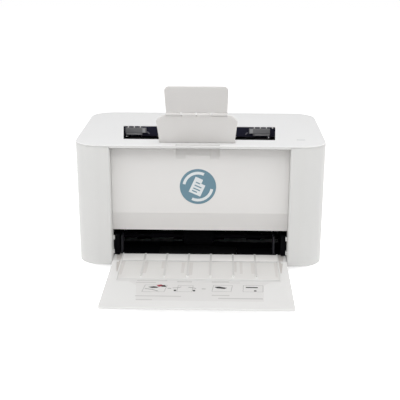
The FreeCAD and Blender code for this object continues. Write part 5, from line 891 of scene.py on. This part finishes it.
def add_tray_floor(materials):
    """A darker film over the tray's front, painted reflection of the dark slot, and thin films of painted
    light and shade on the channel: shade on the tray's floor, bands, grooves and rib tops, light on the
    sill's floor.
    """
    worn_floor = floor_strips(FLOOR_FRONT, TRAY_BACK)
    add_film("tray_floor", worn_floor, TRAY_FLOOR, materials["tray_floor"], "paper_tray", "white_tray")
    bands = [[(x, back), (x + wide, back), (x + narrow, front), (x, front)]
             for x, wide, narrow, back, front in SHADE_BANDS]
    prism("tray_band_shades", bands, "z", TRAY_FLOOR, TRAY_FLOOR + 2 * FILM, materials["tray_band_shade"],
          "paper_tray", "white_tray")
    grooves = groove_pair(GROOVE_FRONT, TRAY_BACK)
    add_film("tray_groove_shades", grooves, TRAY_FLOOR, materials["tray_groove_shade"], "paper_tray", "white_tray")
    caps = rib_caps(RIB_FRONT, TRAY_BACK)
    add_film("rib_caps", caps, RIB_TOP, materials["rib_cap_shade"], "paper_tray", "white_tray")
    sill_caps = rib_caps(*SILL_SPAN)
    add_film("sill_rib_cap_shades", sill_caps, RIB_TOP, materials["rib_cap_shade"], "chassis", "white_shell")
    sill = floor_strips(*SILL_SPAN)
    add_film("sill_floor_painted_light", sill, SILL_FLOOR, materials["sill_floor_painted_light"], "chassis", "white_shell")
    sill_groove_shades = groove_pair(*SILL_SPAN)
    add_film("sill_groove_shades", sill_groove_shades, SILL_FLOOR, materials["tray_groove_shade"], "chassis", "white_shell")
    add_film("tray_slot_reflection", [SLOT_REFLECTION], TRAY_TOP, materials["slot_reflection_film"], "paper_tray", "white_tray")


# ------------------------------------------------------------------------------- signs printed on the tray
# Plain signs for loading paper: a sheet with an arrow, side guides, a sheet, a stack.
# Bars are x0, x1, y0, y1.
ARROW_HEAD = [(-63, -92), (-56, -89.5), (-49, -91.5), (-52, -94.5), (-58, -95)]
CORNER_MARK = [(-48, -87), (-42, -85), (-40, -91), (-46, -90.5)]
SHEET_MARK = [(21, -89.5), (27, -88), (37, -92), (34, -95.5), (24, -93.5)]
RED_MARK = [(-53, -85.5), (-47, -83), (-43, -86.5), (-49, -91)]
BLACK_BARS = [(61, 76, -91.5, -88.5), (-30, -27, -104.5, -100), (-6, -3, -104.5, -100),
              (71, 74, -102.5, -99)]
GREY_BARS = [(-38, -33.5, -96.6, -94.8), (5.2, 10, -97.2, -95.4)]
HEADING_BARS = [(-79, -40, -71.6, -69.6), (-80, -54, -78, -75.8), (-27, -8, -75, -71.8),
                (17.5, 40, -74.5, -71.5), (40, 54, -76, -74.6)]
CAPTION_BARS = [(-77, -20, -122, -119.4), (-75, -55, -133, -131), (18, 40, -118, -115),
                (26, 81, -127.5, -124)]
SHEET_OUTLINES = [(-70, -107, 28, 22, 3), (-26, -106, 19, 20, 1),            # x, y, width, depth, lean
                  (18, -104, 24, 20, 2), (57, -104, 25, 21, 1)]
ARROW_SHAFT = [(-67, -97), (-58, -99.5), (-50, -104.5)]
LEFT_HOOK = [(-32, -94), (-24, -93), (-21, -90)]
RIGHT_HOOK = [(-12, -91), (-7, -93), (-2, -95)]
THICK_LINE = 1.6
HOOK_LINE = 1.2
SHEET_LINE = 0.5
PRINT_SINK = 0.01


def bars(places):
    return [rectangle(*bar) for bar in places]


def sheet_outline(x, y, width, depth, lean):
    """Four strokes round a leaning sheet whose front left corner is at x, y."""
    corners = [(x, y), (x + width, y), (x + width + lean, y + depth), (x + lean, y + depth), (x, y)]
    return path_strokes(corners, SHEET_LINE)


def tray_print(name, outlines, materials, ink, slot_name):
    prism(name, outlines, "z", TRAY_TOP + FILM - PRINT_SINK, TRAY_TOP + 2 * FILM, materials[ink],
          "paper_tray", slot_name)


def add_tray_prints(materials):
    black = [ARROW_HEAD, CORNER_MARK, SHEET_MARK] + bars(BLACK_BARS)
    tray_print("tray_ink_black", black, materials, "ink_black", "dark_grey")
    grey = path_strokes(ARROW_SHAFT, THICK_LINE)
    for sheet in SHEET_OUTLINES:
        grey += sheet_outline(*sheet)
    grey += path_strokes(LEFT_HOOK, HOOK_LINE)
    grey += path_strokes(RIGHT_HOOK, THICK_LINE)
    grey += bars(GREY_BARS)
    tray_print("tray_ink_grey", grey, materials, "ink_grey", "dark_grey")
    tray_print("tray_ink_pale", bars(HEADING_BARS + CAPTION_BARS), materials, "ink_pale", "white_tray")
    tray_print("tray_ink_red", [RED_MARK], materials, "ink_red", "pressure_red")


add_camera()
add_world()
add_lights()
add_floor()
materials = dress_cad_nodes()
add_badge(materials)
add_door_trim(materials)
add_window_details(materials)
add_tray_floor(materials)
add_tray_prints(materials)
bpy.context.scene.view_settings.view_transform = "Standard"
